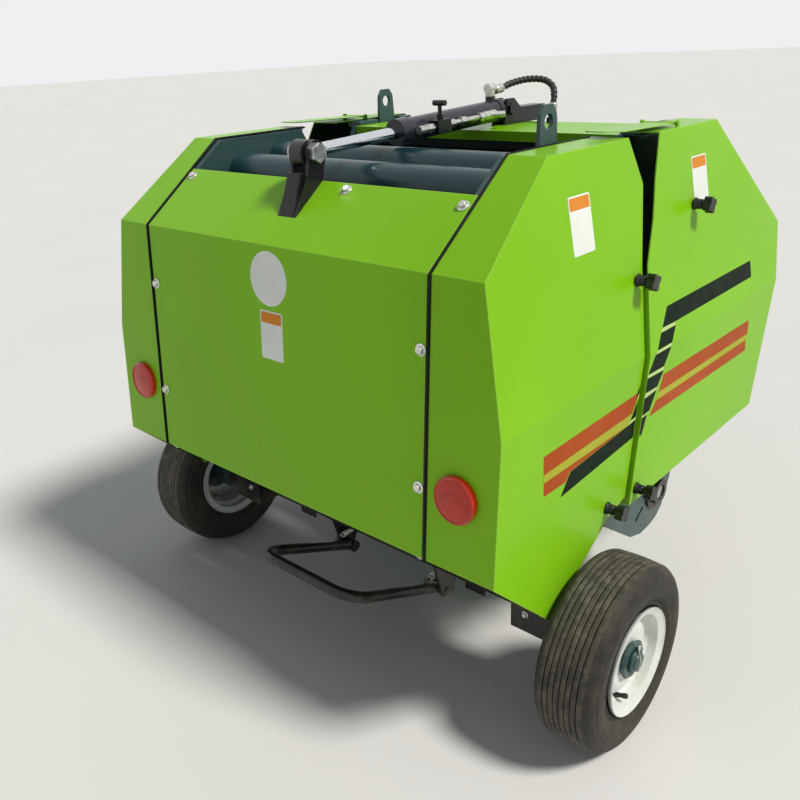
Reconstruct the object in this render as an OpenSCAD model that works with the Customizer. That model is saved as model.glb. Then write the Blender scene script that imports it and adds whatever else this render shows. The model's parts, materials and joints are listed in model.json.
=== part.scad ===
// Small towed round baler: a fixed ring of rollers, a rear gate raised by one
// top cylinder, a tined pickup, two ribbed tyres, a drawbar and a parking jack.
// Frame: +X right, +Y forward, +Z up, origin on the ground at the middle.
// Side views are drawn in (y, z): y runs forward from the crease across the
// rear of the body, and z is the height when the axle stands at axle_ref.

/* [Body shell] */
// Width of the middle panel of the gate
panel_w = 804; // [720:1:900]
// How far the side covers reach out beside the middle panel
cover_w = 161; // [140:1:190]
// Height of the crease above which the sides lean in
lean_z = 745; // [680:1:820]
// Inward lean of the upper sides, mm per mm of height
lean_rate = 0.1815; // [0.05:0.001:0.2]
// Height of the flat top
top_z = 1158; // [1120:1:1250]
// Fall of the rear slope from the top to the crease
slope_h = 160; // [120:1:200]
// Length of the rear slope
slope_l = 213; // [180:1:250]
// Height of the lower rear edge
rear_z = 476; // [440:1:510]
// How far the lower rear edge stands behind the crease
rear_out = 43; // [20:1:60]
// Thickness of the body sheets
sheet_t = 3; // [2:0.5:4]
// Gap beside the middle panel
seam_gap = 7; // [5:1:12]
// How far the front covers stand outside the rear ones
cover_step = 9; // [8:0.5:15]
// Rear edge of the notch in the top of the sides
notch_rear_y = 494; // [470:1:520]
// Front edge of that notch
notch_front_y = 605; // [580:1:640]
// Front end of the flat top
nose_top_y = 877; // [840:1:920]
// Foremost point of the body
nose_y = 1209; // [1150:1:1260]
// Height of the foremost point
nose_z = 883; // [840:1:930]
// Height of the lower front edge
chin_z = 424; // [413:1:450]

/* [Chamber] */
// Depth of the chamber centre below the top
chamber_drop = 375; // [350:1:400]
// Roller radius
roller_r = 48; // [40:1:50]
// Roller shaft radius
shaft_r = 15; // [12:0.5:18]
// Space between the rollers and the flat top
top_gap = 22; // [18:1:40]
// Space between the rollers and the crease
rear_gap = 15; // [10:1:40]
// Angle between neighbouring gate rollers
roller_step = 23.5; // [22:0.5:25]
// Gate hinge, forward of the chamber centre
hinge_dy = 128; // [110:1:140]
// Gate hinge, above the chamber centre
hinge_dz = 134; // [120:1:150]
// Radius of the hinge pins
hinge_r = 15; // [12:0.5:20]

/* [Wheels] */
// Tyre radius
tyre_r = 198; // [185:1:220]
// Tyre width
tyre_w = 134; // [120:1:160]
// Rim flange radius
rim_r = 112; // [100:1:125]
// Space between tyre and side cover
tyre_gap = 6; // [5:1:30]
// Axle, forward of the crease
axle_y = 254; // [220:1:280]
// Height of the axle in the side drawings
axle_ref = 198; // [195:1:205]
// Radius of the wheel spindles
spindle_r = 15; // [12:0.5:20]

/* [Gate cylinder] */
// Rod pin, forward of the crease
pin_y = 125; // [115:1:135]
// Depth of the rod pin below the top
pin_drop = 3; // [0:1:10]
// Distance between the two pins
cylinder_l = 660.5; // [640:0.5:680]
// Height of the front pin above the top
anchor_rise = 24; // [20:1:30]
// Barrel radius
barrel_r = 25; // [20:0.5:27]
// Rod radius
rod_r = 12.5; // [8:0.5:14]
// Radius of the rod's pin
pin_r = 12.5; // [10:0.5:13]
// Slack of the rod's eye round its pin
eye_play = 4.5; // [4:0.5:6]
// Further slack of the eye along the rod, towards the rear
eye_slack = 9; // [8:0.5:12]

/* [Pickup] */
// Reel axis, forward of the crease
reel_y = 755; // [740:1:775]
// Reel axis height
reel_z = 285; // [275:1:300]
// Radius at the tine tips
tine_tip_r = 165; // [150:1:175]
// Outer radius of the stripper bands
stripper_r = 112; // [105:1:120]
// Distance from band to band
stripper_step = 84; // [80:1:90]
// How far the side plates stand outside the frame plates
pickup_out = 92; // [80:1:100]
// Radius of the reel shaft
reel_shaft_r = 20; // [15:1:25]

/* [Drawbar and jack] */
// Hitch hole, forward of the crease
hitch_y = 1812; // [1780:1:1900]
// Height of the hitch
hitch_z = 340; // [335:1:350]
// Radius of the hitch hole
hitch_hole_r = 16; // [13:0.5:20]
// Jack, forward of the crease
jack_y = 1600; // [1570:1:1640]
// Radius of the jack's leg
jack_leg_r = 21; // [18:0.5:24]

/* [Hidden] */
$fn = 48;
green = [0.42, 0.74, 0.10];
slate = [0.20, 0.25, 0.27];
black = [0.06, 0.06, 0.07];
zinc = [0.80, 0.81, 0.80];
chrome = [0.90, 0.90, 0.92];
white = [0.93, 0.93, 0.92];

// clearances
fit = 0.05;
seat = 0.1;
plate_gap = 5;

// plates, measured out from the centre line
gate_plate_x = panel_w / 2 - 9;
gate_plate_t = 6;
plate_t = 8;
plate_in = gate_plate_x - plate_gap - plate_t;
plate_out = plate_in + plate_t;
cover_in = panel_w / 2 + seam_gap;
side_x = panel_w / 2 + cover_w;
wheel_x = side_x + tyre_gap + tyre_w / 2;
flange_w = 37;

// roller ring
chamber_z = top_z - chamber_drop;
ring_r = chamber_drop - roller_r - top_gap;
chamber_y = ring_r + roller_r + rear_gap;
hinge_y = chamber_y + hinge_dy;
hinge_z = chamber_z + hinge_dz;
// roller places by angle round the chamber, 0 is forward, 90 is up
gate_angles = [for (i = [0:7]) 84.5 + i * roller_step];
frame_angles = [272.5, 272.5 + roller_step, 272.5 + 2 * roller_step, 6.5, 6.5 + roller_step, 48];
bearing_angles = [for (i = [0:4]) frame_angles[i]];
function ring_at(a, r = ring_r) = [chamber_y + r * cos(a), chamber_z + r * sin(a)];

// rear edge, crease, slope and top of the body, seen from the side: [y, z]
crease_z = top_z - slope_h;
rear_line = [[-rear_out, rear_z], [0, crease_z], [slope_l, top_z], [notch_rear_y, top_z]];
front_line = [[notch_front_y, top_z], [nose_top_y, top_z], [nose_y, nose_z],
    [nose_y - 117, chin_z]];
// foot of the seam between the two side covers
seam_low = [hinge_y - 72, rear_z - 30];
rear_outline = concat(rear_line, [[notch_rear_y + 38, top_z - 88], [hinge_y, hinge_z],
    seam_low, seam_low - [63, 15], [axle_y - 114, rear_z - 174]]);
seam_front = [[seam_low.x + 4, chin_z + 2], [hinge_y + 7, hinge_z]];
front_outline = concat(front_line, seam_front, [[notch_front_y - 61, top_z - 159], [notch_front_y - 37, top_z - 86]]);
// folded lips, where the front cover meets the seam and along the rear cover's foot
front_lip = [seam_front[0], seam_front[1] - [4, 24]];
rear_lip = [seam_low - [63, 15], [axle_y - 114, rear_z - 174]];
lip_w = 24;
function slope_at(y, depth = 0) =
    [y, crease_z + y * slope_h / slope_l - depth * norm([slope_l, slope_h]) / slope_l];
panel_top_y = 137;

// hand knobs of the side covers: [y, z]
rear_knobs = [[hinge_y - 27, hinge_z - 19], seam_low + [-77, 10]];
front_knobs = [[notch_front_y + 124, top_z - 156], seam_low + [30, 11]];
knob_reach = 26;
stud_r = 5;

// frame levels
rail_z = 362;
rail_h = 50;
beam_top = top_z - 16;
panel_z = beam_top + sheet_t;

// flaps that bridge the notch
flap_y = notch_front_y + 106;
flap_z = top_z + 6;
flap_l = 255;
flap_rod_r = 3;
flap_x0 = cover_in + 2;
flap_x1 = skin_x(top_z) - 9;

// twine box lid
lid_y = nose_top_y + 74;
lid_z = top_z - 67;
lid_rod_r = 4;

// gate cylinder
pin = [pin_y, top_z - pin_drop];
anchor_z = top_z + anchor_rise;
anchor_y = pin_y + sqrt(cylinder_l * cylinder_l - (anchor_z - pin.y) * (anchor_z - pin.y));
cyl_angle = atan2(anchor_z - pin.y, anchor_y - pin_y);
barrel_from = 258;
anchor_pin_r = 10;
eye_gap = 36;
ear_t = 8;
// ports of the barrel, along the cylinder, and the oil line beside it
port_at = [306, 545];
top_port = 605;
valve_at = 366;
line_x = 38;
line_r = 6;

// bars that carry the stripper bands: [y, z]
stripper_bars = [[reel_y - 185, reel_z + 103], [reel_y - 180, reel_z - 19]];
stripper_bar_r = 8;
pickup_x = plate_out + pickup_out;
pickup_t = 6;
bands = 11;
tine_bar_r = 86;

// bale ramp
ramp_pivot = [300, 108];
ramp_end = [4, 242];
ramp_x = 152;
ramp_r = 13;
ramp_bend = 60;
ramp_pin_r = 8;

// lifting lugs
lug_t = 8;
lug_w = 60;
lug_h = 74;
lug_hole_r = 14;
lug_clip = 16;
lug_rear_y = slope_l + 132;
lug_front_y = notch_front_y + 175;

// drive
pto_z = 575;
pto_y = 1075;
// radius of the stub, of the neck behind it and of the journal in the housing
pto_r = 17.4;
pto_neck_r = 14;
pto_journal_r = 20;

// wheel hub
hub_r = 34;

// axle: beam under the rails, and the blocks that carry the spindles
axle_size = [50, 50];
block_x = [side_x - 142, side_x - 38];
block_h = 75;

// jack, beside the drawbar's beam
jack_x = 80;
ground = axle_ref - tyre_r;

// route of the oil hose from the cylinder's port to the top panel
hose_route = [[0, 745, 1228], [0, 775, 1231], [8, 812, 1240], [30, 846, 1246], [62, 866, 1243],
    [86, 868, 1228], [97, 858, 1207], [100, 849, 1185], [100, 846, 1158.9]];
hose_end = hose_route[len(hose_route) - 1];
hose_r = 8.5;

mid_y = (hitch_y + hitch_hole_r + 29 - rear_out) / 2;

// vectors, bent lines and curves
function unit(v) = v / norm(v);
function right_of(v) = [v.y, -v.x];
function skin_x(z) = side_x - max(0, z - lean_z) * lean_rate;
function heading(p, i) = unit(p[i + 1] - p[i]);
// a line of points moved sideways by t, to the right of its direction
function beside(p, t) = [for (i = [0:len(p) - 1])
    let (a = heading(p, max(0, i - 1)),
         b = heading(p, min(len(p) - 2, i)),
         n = unit(right_of(a) + right_of(b)))
    p[i] + n * t / (n * right_of(a))];
// a smooth curve through the points p, n steps to a stretch
function curve(p, n) = concat([for (i = [0:len(p) - 2], k = [0:n - 1])
    let (t = k / n, a = p[max(0, i - 1)], b = p[i], c = p[i + 1], d = p[min(len(p) - 1, i + 2)])
    0.5 * (2 * b + (c - a) * t + (2 * a - 5 * b + 4 * c - d) * t * t
        + (3 * b - a - 3 * c + d) * t * t * t)], [p[len(p) - 1]]);
gate_flange = beside(rear_line, sheet_t + seat);
// the front slope of the frame, a sheet's thickness inside the lid, at height z
function nose_at(z) = [nose_y - 53 - (z - nose_z - 26) * 1.21, z];

// moves a drawing to the frame of the part
module placed() translate([0, -mid_y, tyre_r - axle_ref]) children();

// extrudes a (y, z) drawing from x0 to x1
module slab(x0, x1) translate([x0, 0, 0]) rotate([90, 0, 90])
    linear_extrude(x1 - x0) children();

// extrudes an (x, z) drawing from y0 to y1
module along_y(y0, y1) translate([0, y1, 0]) rotate([90, 0, 0])
    linear_extrude(y1 - y0) children();

module both_sides() {
    children();
    mirror([1, 0, 0]) children();
}

// a bent sheet, drawn as its outer line and thickened inwards
module band(line, t) {
    inner = beside(line, t);
    polygon(concat(line, [for (i = [len(inner) - 1:-1:0]) inner[i]]));
}

module rod_x(x0, x1, r, at) translate([x0, at.x, at.y]) rotate([0, 90, 0])
    cylinder(r = r, h = x1 - x0);

// two circles joined by a straight, l apart along x
module stadium(r, l) {
    circle(r);
    translate([l, 0]) circle(r);
    translate([0, -r]) square([l, 2 * r]);
}

// a tube with square corners, running forward
module box_tube(size, wall, length) difference() {
    cube([size.x, length, size.y]);
    translate([wall, -1, wall])
        cube([size.x - 2 * wall, length + 2, size.y - 2 * wall]);
}

module hex(x, t, r, at) translate([x, at.x, at.y]) rotate([0, 90, 0])
    cylinder(r = r, h = t, $fn = 6);

// faces that join rings of points into one closed tube
module ring_mesh(rings, n, sides) polyhedron(rings, concat([[for (k = [0:sides - 1]) k]],
    [for (i = [0:n - 2], k = [0:sides - 1])
        let (a = i * sides + k, b = i * sides + (k + 1) % sides, c = a + sides, d = b + sides)
        each [[a, c, d], [a, d, b]]],
    [[for (k = [sides - 1:-1:0]) (n - 1) * sides + k]]));

// a round tube swept along a line of points
module swept(line, r, sides) {
    n = len(line);
    dir = [for (i = [0:n - 1]) unit(line[min(n - 1, i + 1)] - line[max(0, i - 1)])];
    ring_mesh([for (i = [0:n - 1])
        let (u = unit(cross(dir[i], [1, 0, 0])), v = cross(dir[i], u))
        for (k = [0:sides - 1]) let (a = k * 360 / sides) line[i] + r * (u * cos(a) + v * sin(a))],
        n, sides);
}

// a coil of wire about z, from z = 0 up to l
module coil(r, wire_r, turns, l, steps = 10, sides = 5) {
    n = turns * steps + 1;
    ring_mesh([for (i = [0:n - 1])
        let (a = i * 360 / steps, out = [cos(a), sin(a), 0],
             rise = atan2(l / turns, 2 * PI * r),
             up = [sin(a) * sin(rise), -cos(a) * sin(rise), cos(rise)])
        for (k = [0:sides - 1]) let (b = k * 360 / sides)
            out * (r - wire_r + wire_r * cos(b)) + [0, 0, wire_r + i * (l - 2 * wire_r) / (n - 1)]
                + up * wire_r * sin(b)], n, sides);
}

// the space inside the leaning sides, widened by grow
module skin_region(grow) polygon([
    [0, 0], [side_x + grow, 0], [side_x + grow, lean_z],
    [skin_x(top_z + 100) + grow, top_z + 100], [0, top_z + 100]]);

// side cover: one leaning side sheet, the folded strips round its edge and a folded lip
module side_cover(outline, strip, lip, grow, knobs) difference() {
    union() {
        intersection() {
            slab(plate_in, side_x + 50) polygon(outline);
            along_y(-200, nose_y + 200) difference() {
                skin_region(grow);
                skin_region(grow - sheet_t);
            }
        }
        intersection() {
            slab(cover_in, side_x + 50) band(strip, sheet_t);
            along_y(-200, nose_y + 200) skin_region(grow);
        }
        intersection() {
            slab(plate_in, side_x + 50) band(lip, sheet_t);
            along_y(-200, nose_y + 200) difference() {
                skin_region(grow - 1);
                skin_region(grow - lip_w);
            }
        }
    }
    for (p = knobs) rod_x(skin_x(p.y) - 20, side_x + 50, stud_r + 0.5, p);
}

module rear_cover_right() color(green) placed()
    side_cover(rear_outline, rear_line, rear_lip, 0, rear_knobs);
module rear_cover_left() mirror([1, 0, 0]) rear_cover_right();

module front_cover_right() color(green) placed() {
    side_cover(front_outline, front_line, front_lip, cover_step, front_knobs);
    for (x = [flap_x0 - 8, flap_x1 + 2]) slab(x, x + 6) difference() {
        union() {
            translate([flap_y, flap_z]) circle(flap_rod_r + 3);
            translate([flap_y - 6, top_z - 1]) square([12, flap_z - top_z + 1]);
        }
        translate([flap_y, flap_z]) circle(flap_rod_r + fit);
    }
}
module front_cover_left() mirror([1, 0, 0]) front_cover_right();

// rear panel of the gate, folded inwards at its lower and upper edge
module tailgate_panel() color(green) placed() {
    skin = [[-rear_out, rear_z], [0, crease_z], slope_at(panel_top_y)];
    slab(-panel_w / 2, panel_w / 2) band(skin, sheet_t);
    slab(-gate_plate_x + 8, gate_plate_x - 8) {
        band([[24 - rear_out, rear_z], [-rear_out, rear_z], [0, crease_z]], sheet_t);
        band([[0, crease_z], skin[2], slope_at(panel_top_y + 4, 16)], sheet_t);
    }
}

// plates that close the ends of the gate's half of the chamber
module tailgate_side_plates() color(slate) placed() both_sides() difference() {
    union() {
        slab(gate_plate_x, gate_plate_x + gate_plate_t) {
            polygon(concat([for (i = [0:2]) gate_flange[i]],
                [[notch_rear_y - 29, top_z - sheet_t], [notch_rear_y - 9, top_z - 38],
                [hinge_y + 34, hinge_z + 83], [hinge_y + 44, hinge_z + 13],
                [hinge_y - 46, hinge_z - 57], [chamber_y - 38, chamber_z - 183],
                seam_low + [-114, -6], seam_low + [-234, -16],
                [60 - rear_out, rear_z + 4]]));
            translate([hinge_y, hinge_z]) circle(46);
        }
        for (part = [[0, 1, 2], [2, 3]])
            slab(gate_plate_x, gate_plate_x + flange_w)
                band([for (i = part) i == 3 ? [notch_rear_y - 24, gate_flange[3].y] : gate_flange[i]], 4);
    }
    rod_x(plate_in, cover_in + 50, hinge_r + fit, [hinge_y, hinge_z]);
    rod_x(plate_in, cover_in + 50, 6, [slope_l + 169, top_z - 34]);
    for (a = gate_angles) rod_x(plate_in, cover_in + 50, shaft_r + fit, ring_at(a));
    translate([gate_plate_x + gate_plate_t, lug_rear_y - lug_w / 2, top_z - 40])
        cube([lug_t, lug_w, 80]);
}

module roller(p, reach, shaft) {
    rod_x(-reach, reach, roller_r, p);
    rod_x(-reach - 1, reach + 1, roller_r - 14, p);
    rod_x(-shaft, shaft, shaft_r, p);
}

module tailgate_rollers() color(slate) placed()
    for (a = gate_angles) roller(ring_at(a), gate_plate_x - 3, gate_plate_x + gate_plate_t + 15);

module front_rollers() color(slate) placed()
    for (a = frame_angles) roller(ring_at(a), plate_in - 3, a == frame_angles[5] ? plate_out
        : plate_out + 15);

// flanged bearing on the outer face of a plate
module bearing(x, p) difference() {
    union() {
        rod_x(x, x + 5, 32, p);
        rod_x(x, x + 13, 22, p);
        for (k = [0:2]) translate([0, p.x, p.y]) rotate([k * 120 + 30, 0, 0])
            hex(x, 9, 6, [0, 26.5]);
    }
    rod_x(x - 1, x + 20, shaft_r + fit, p);
}

module frame_bearings() color(black) placed() both_sides()
    for (a = bearing_angles) bearing(plate_out, ring_at(a));

module gate_bearings() color(black) placed() both_sides()
    for (a = gate_angles) bearing(gate_plate_x + gate_plate_t, ring_at(a));

// plates of the fixed frame, with the front of the chamber between them
module frame_side_plates() color(slate) placed() both_sides() {
    difference() {
        union() {
            slab(plate_in, plate_out) {
                polygon([[notch_front_y + 35, panel_z], [nose_top_y - 7, panel_z],
                    nose_at(beam_top), nose_at(nose_z + 22), [nose_y - 19.5, nose_z - 3],
                    [nose_y - 67, nose_z - 207], [nose_y - 124, chin_z + 6],
                    [nose_y - 124, rail_z], [reel_y + 195, rail_z], [reel_y + 195, rail_z + rail_h],
                    [chamber_y - 38, rail_z + rail_h], [chamber_y - 38, chamber_z - 263],
                    [chamber_y + 27, chamber_z - 183], [chamber_y + 57, chamber_z + 77],
                    [hinge_y - 44, hinge_z - 17], [hinge_y + 44, hinge_z + 43],
                    [hinge_y + 64, hinge_z + 88], [notch_front_y + 10, top_z - 68]]);
                translate([hinge_y, hinge_z]) circle(46);
            }
            for (y = [[60, 130], [220, 265]]) slab(plate_in, cover_in + 16)
                translate([notch_front_y + y[0], beam_top])
                    square([y[1] - y[0], top_z - sheet_t - beam_top]);
        }
        for (a = frame_angles) rod_x(plate_in - 9, plate_out + 9, shaft_r + fit, ring_at(a));
        rod_x(plate_in - 9, plate_out + 9, tine_tip_r + 20, [reel_y, reel_z]);
        rod_x(plate_in - 9, plate_out + 9, 20, [pto_y, pto_z]);
    }
    rod_x(plate_in - 10, gate_plate_x + gate_plate_t + 9, hinge_r, [hinge_y, hinge_z]);
    hex(gate_plate_x + gate_plate_t + 4, 8, hinge_r + 7, [hinge_y, hinge_z]);
}

module chassis_rails() color(black) placed() {
    both_sides() translate([plate_in - 35, 110, rail_z]) box_tube([rail_h, rail_h], 4, 435);
    for (y = [120, 480]) translate([35 - plate_in, y, rail_z])
        cube([2 * plate_in - 70, rail_h, rail_h]);
    translate([-plate_in, pto_y - 40, rail_z]) cube([2 * plate_in, rail_h, rail_h]);
    for (y = [50, 225]) translate([-plate_in, notch_front_y + y, beam_top - 40])
        cube([2 * plate_in, 40, 40]);
}

// cross beam, its hangers, spindle blocks and spindles, and the ramp's brackets
module axle_beam() color(black) placed() {
    beam_z = axle_ref + 5;
    translate([-block_x[0] - 2, axle_y - 4, beam_z]) cube([2 * block_x[0] + 4, axle_size.x, axle_size.y]);
    both_sides() {
        translate([plate_in - 35, axle_y - 4, beam_z + axle_size.y - 1])
            cube([rail_h, axle_size.x, rail_z - beam_z - axle_size.y + 1]);
        translate([block_x[0], axle_y - 38, axle_ref - 22])
            cube([block_x[1] - block_x[0], 84, block_h]);
        rod_x(block_x[1] - 25, wheel_x + 60, spindle_r, [axle_y, axle_ref]);
        slab(ramp_x + ramp_r + 3, ramp_x + ramp_r + 11) difference() {
            polygon([[axle_y + 1, beam_z + 3], [axle_y + 44, beam_z + 3],
                [ramp_pivot.x + 50, ramp_pivot.y + 48], ramp_pivot + [24, -14],
                ramp_pivot + [-14, -14]]);
            translate(ramp_pivot) circle(ramp_pin_r + fit);
        }
        rod_x(ramp_x - 12, ramp_x + ramp_r + 4, 5, ramp_pivot + [36, 46]);
        slab(block_x[0] - 165, block_x[0] - 109) polygon([[axle_y + 16, axle_ref - 30],
            [axle_y + 20, axle_ref - 30], [axle_y + 20, beam_z + 3], [axle_y + 16, beam_z + 3]]);
    }
}

module top_panel() color(green) placed() {
    slab(0.3 - plate_in, plate_in - 0.3) band([[notch_front_y + 41, panel_z - 22],
        [notch_front_y + 41, panel_z], [nose_top_y - 4, panel_z], [lid_y - 5, lid_z - 6]], sheet_t);
    for (x = [60 - plate_in, -15, plate_in - 90]) slab(x, x + 30) difference() {
        union() {
            translate([lid_y, lid_z]) circle(7);
            polygon([[lid_y - 21, lid_z + 7.2], [lid_y - 5, lid_z - 6], [lid_y + 4, lid_z - 5],
                [lid_y, lid_z + 7]]);
        }
        translate([lid_y, lid_z]) circle(lid_rod_r + fit);
    }
}

module front_panel() color(green) placed() slab(-plate_out, plate_out)
    band([[nose_y - 49, nose_z + 26.8], [nose_y - 15.5, nose_z - 1], [nose_y - 62, nose_z - 201]],
        sheet_t);

module twine_box() color(slate) placed() difference() {
    slab(-plate_in, plate_in) polygon([[nose_top_y + 23, lid_z + 19], [nose_top_y + 23, nose_z - 83],
        [nose_y - 59, nose_z - 83], [nose_y - 59, nose_z + 22], [nose_y - 169, nose_z + 112],
        [lid_y - 1, lid_z - 21]]);
    slab(4 - plate_in, plate_in - 4) translate([nose_top_y + 27, nose_z - 79])
        square([nose_y - nose_top_y - 90, 500]);
}

module twine_box_lid() color(green) placed() {
    slab(6 - plate_in, plate_in - 6) band([[lid_y + 5, lid_z - 6], [nose_y - 53, nose_z + 35]],
        sheet_t);
    rod_x(50 - plate_in, plate_in - 50, lid_rod_r, [lid_y, lid_z]);
    for (x = [-200, 170]) slab(x, x + 30)
        polygon([[lid_y - 3, lid_z], [lid_y + 3, lid_z + 3], [lid_y + 34, lid_z - 30],
            [lid_y + 24, lid_z - 25]]);
    for (x = [-120, 100]) slab(x, x + 20) polygon([[nose_y - 90, nose_z + 66],
        [nose_y - 70, nose_z + 70], [nose_y - 60, nose_z + 42], [nose_y - 66, nose_z + 46]]);
}

// hand knob with lobes on a stud that stands on the plate behind the cover
module knob(p, foot, grow) {
    x = skin_x(p.y) + grow + knob_reach;
    rod_x(foot, x, stud_r, p);
    rod_x(x - 12, x + 3, 8, p);
    translate([x, p.x, p.y]) rotate([0, 90, 0]) linear_extrude(16) {
        circle(13);
        for (k = [0:3]) rotate(k * 90 + 20) translate([12, 0]) circle(6.5);
    }
}

module cover_knobs_rear() color(black) placed() both_sides()
    for (p = rear_knobs) knob(p, gate_plate_x + gate_plate_t, 0);

module cover_knobs_front() color(black) placed() both_sides()
    for (p = front_knobs) knob(p, plate_out, cover_step);

// lifting lug: flat plate with clipped corners and a round hole
module lug(x, y) slab(x, x + lug_t) difference() {
    translate([y, top_z - 38]) polygon([[-lug_w / 2, 0], [lug_w / 2, 0], [lug_w / 2, 40],
        [lug_w / 2 - 4, lug_h + 35 - lug_clip], [lug_w / 2 - lug_clip, lug_h + 35],
        [lug_clip - lug_w / 2, lug_h + 35], [4 - lug_w / 2, lug_h + 35 - lug_clip],
        [-lug_w / 2, 40]]);
    translate([y, top_z + 41]) circle(lug_hole_r);
}

module lifting_lug_rear() color(slate) placed() lug(gate_plate_x + gate_plate_t, lug_rear_y);
module lifting_lug_front() color(slate) placed() lug(-plate_out - lug_t, lug_front_y);

// round reflectors with a raised rim, on the leaning rear face
module reflectors() color([0.75, 0.08, 0.05]) placed() both_sides()
    translate([panel_w / 2 + 76, -rear_out, rear_z])
    rotate([90 - atan2(rear_out, crease_z - rear_z), 0, 0])
    translate([0, 145, 0]) rotate_extrude($fn = 64)
    polygon([[0, 0], [44, 0], [44, 9], [41, 12], [38, 10], [30, 11.5], [0, 14]]);

// the gate's bracket for the rod: two ears and a back plate in between
module cylinder_clevis() color(black) placed() {
    foot = [slope_at(58, -seat), slope_at(panel_top_y, -seat)];
    for (s = [-1, 1]) slab(s * (eye_gap + ear_t) / 2 - ear_t / 2, s * (eye_gap + ear_t) / 2 + ear_t / 2) {
        polygon([foot[0], foot[1], pin + [24, -14], pin + [-20, 12], pin + [-24, -34]]);
        translate(pin) circle(24);
    }
    slab(-eye_gap / 2, eye_gap / 2) polygon([foot[0], foot[0] + [12, 9], pin + [-30, -34],
        pin + [-38, -34]]);
    rod_x(-eye_gap / 2 - ear_t - 3, eye_gap / 2 + ear_t + 3, pin_r, pin);
    hex(eye_gap / 2 + ear_t, 12, 19, pin);
    hex(-eye_gap / 2 - ear_t - 12, 12, 19, pin);
}

// local frame of the cylinder: z runs from the rod's pin to the anchor, y down
module on_cylinder() translate([0, pin.x, pin.y]) rotate([cyl_angle - 90, 0, 0]) children();

module cylinder_rod() color(chrome) placed() on_cylinder() difference() {
    union() {
        cylinder(r = rod_r, h = 380);
        rotate([0, 90, 0]) translate([0, 0, 2 - eye_gap / 2])
            linear_extrude(eye_gap - 4) stadium(pin_r + eye_play + 7, eye_slack);
    }
    rotate([0, 90, 0]) translate([0, 0, -eye_gap]) linear_extrude(2 * eye_gap)
        stadium(pin_r + eye_play, eye_slack);
}

module cylinder_barrel() color(slate) placed() on_cylinder() {
    difference() {
        union() {
            translate([0, 0, barrel_from]) cylinder(r = barrel_r, h = cylinder_l - barrel_from - 30);
            translate([0, 0, barrel_from]) cylinder(r = barrel_r + 3, h = 34);
            translate([0, 0, cylinder_l - 44]) cylinder(r = barrel_r + 2, h = 14);
            for (z = port_at) translate([0, 0, z]) rotate([0, 90, 0]) cylinder(r = 10, h = line_x - 10.1);
            translate([0, 0, top_port]) rotate([90, 0, 0]) cylinder(r = 12, h = barrel_r + 10);
        }
        translate([0, 0, barrel_from - 8]) cylinder(r = rod_r + fit, h = 350);
    }
    translate([0, 0, cylinder_l]) rotate([0, 90, 0]) difference() {
        translate([0, 0, -12]) union() {
            cylinder(r = 22, h = 24);
            translate([0, -13, 0]) cube([40, 26, 24]);
        }
        translate([0, 0, -20]) cylinder(r = anchor_pin_r + fit, h = 40);
    }
}

// oil line along the barrel: a pipe between two elbows, with union nuts
module cylinder_lines() color(zinc) placed() on_cylinder() {
    translate([line_x, 0, port_at[0] - 14]) cylinder(r = 9, h = 28);
    translate([line_x, 0, port_at[1] - 22]) cylinder(r = 10, h = 44);
    translate([line_x, 0, port_at[0]]) cylinder(r = line_r, h = port_at[1] - port_at[0]);
    for (z = [port_at[0] + 14, valve_at + 28, valve_at + 70, port_at[1] - 40]) translate([line_x, 0, z])
        cylinder(r = 10.5, h = 16, $fn = 6);
    translate([line_x, 0, port_at[1] + 8]) rotate([0, 60, 0]) cylinder(r = 7, h = 34);
    translate([0, -barrel_r - 10, top_port]) rotate([90, 0, 0]) {
        cylinder(r = 13, h = 12, $fn = 6);
        cylinder(r = 9, h = 22);
    }
    translate([0, -barrel_r - 28, top_port]) {
        translate([0, 0, -11]) cylinder(r = 11, h = 24);
    }
}

// shut-off valve in the oil line, with its T handle
module shutoff_valve() color(black) placed() on_cylinder() {
    difference() {
        translate([line_x - 13, -14, valve_at - 22]) cube([26, 28, 44]);
        translate([line_x, 0, valve_at - 30]) cylinder(r = line_r + fit, h = 60);
    }
    translate([line_x, -14, valve_at]) rotate([90, 0, 0]) {
        cylinder(r = 7, h = 12);
        cylinder(r = 4.5, h = 34);
        translate([0, 0, 34]) rotate([0, 90, 0]) translate([0, 0, -16]) cylinder(r = 6, h = 32);
    }
}

module cylinder_anchor() color(black) placed() {
    translate([-19, anchor_y + 28, panel_z]) cube([38, 126, 38]);
    for (s = [-1, 1]) slab(s * 17 - 3, s * 17 + 3)
        polygon([[anchor_y - 25, panel_z], [anchor_y + 55, panel_z], [anchor_y + 55, panel_z + 30],
            [anchor_y + 15, anchor_z + 24], [anchor_y - 15, anchor_z + 24]]);
    rod_x(-26, 26, anchor_pin_r, [anchor_y, anchor_z]);
    hex(20, 9, 15, [anchor_y, anchor_z]);
    translate([hose_end.x, hose_end.y, panel_z]) cylinder(r = 15, h = 13, $fn = 6);
}

module hydraulic_hose() color(black) placed() swept(curve(hose_route, 6), hose_r, 10);

// flap that bridges the notch, clipped at its free end, on its hinge rod
module flap(side) color(green) placed() scale([side, 1, 1]) {
    intersection() {
        slab(flap_x0, flap_x1) band([[flap_y - flap_l, flap_z + 8], [flap_y - flap_l + 40, flap_z + 6],
            [flap_y, flap_z + 1]], 2);
        translate([0, 0, top_z - 50]) linear_extrude(100) polygon([[flap_x0, flap_y + 5],
            [flap_x0, flap_y - flap_l + 12], [flap_x0 + 14, flap_y - flap_l],
            [flap_x1 - 22, flap_y - flap_l], [flap_x1, flap_y - flap_l + 34], [flap_x1, flap_y + 5]]);
    }
    rod_x(flap_x0 - 8, flap_x1 + 8, flap_rod_r, [flap_y, flap_z]);
}
module flap_left() flap(-1);
module flap_right() flap(1);

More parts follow.
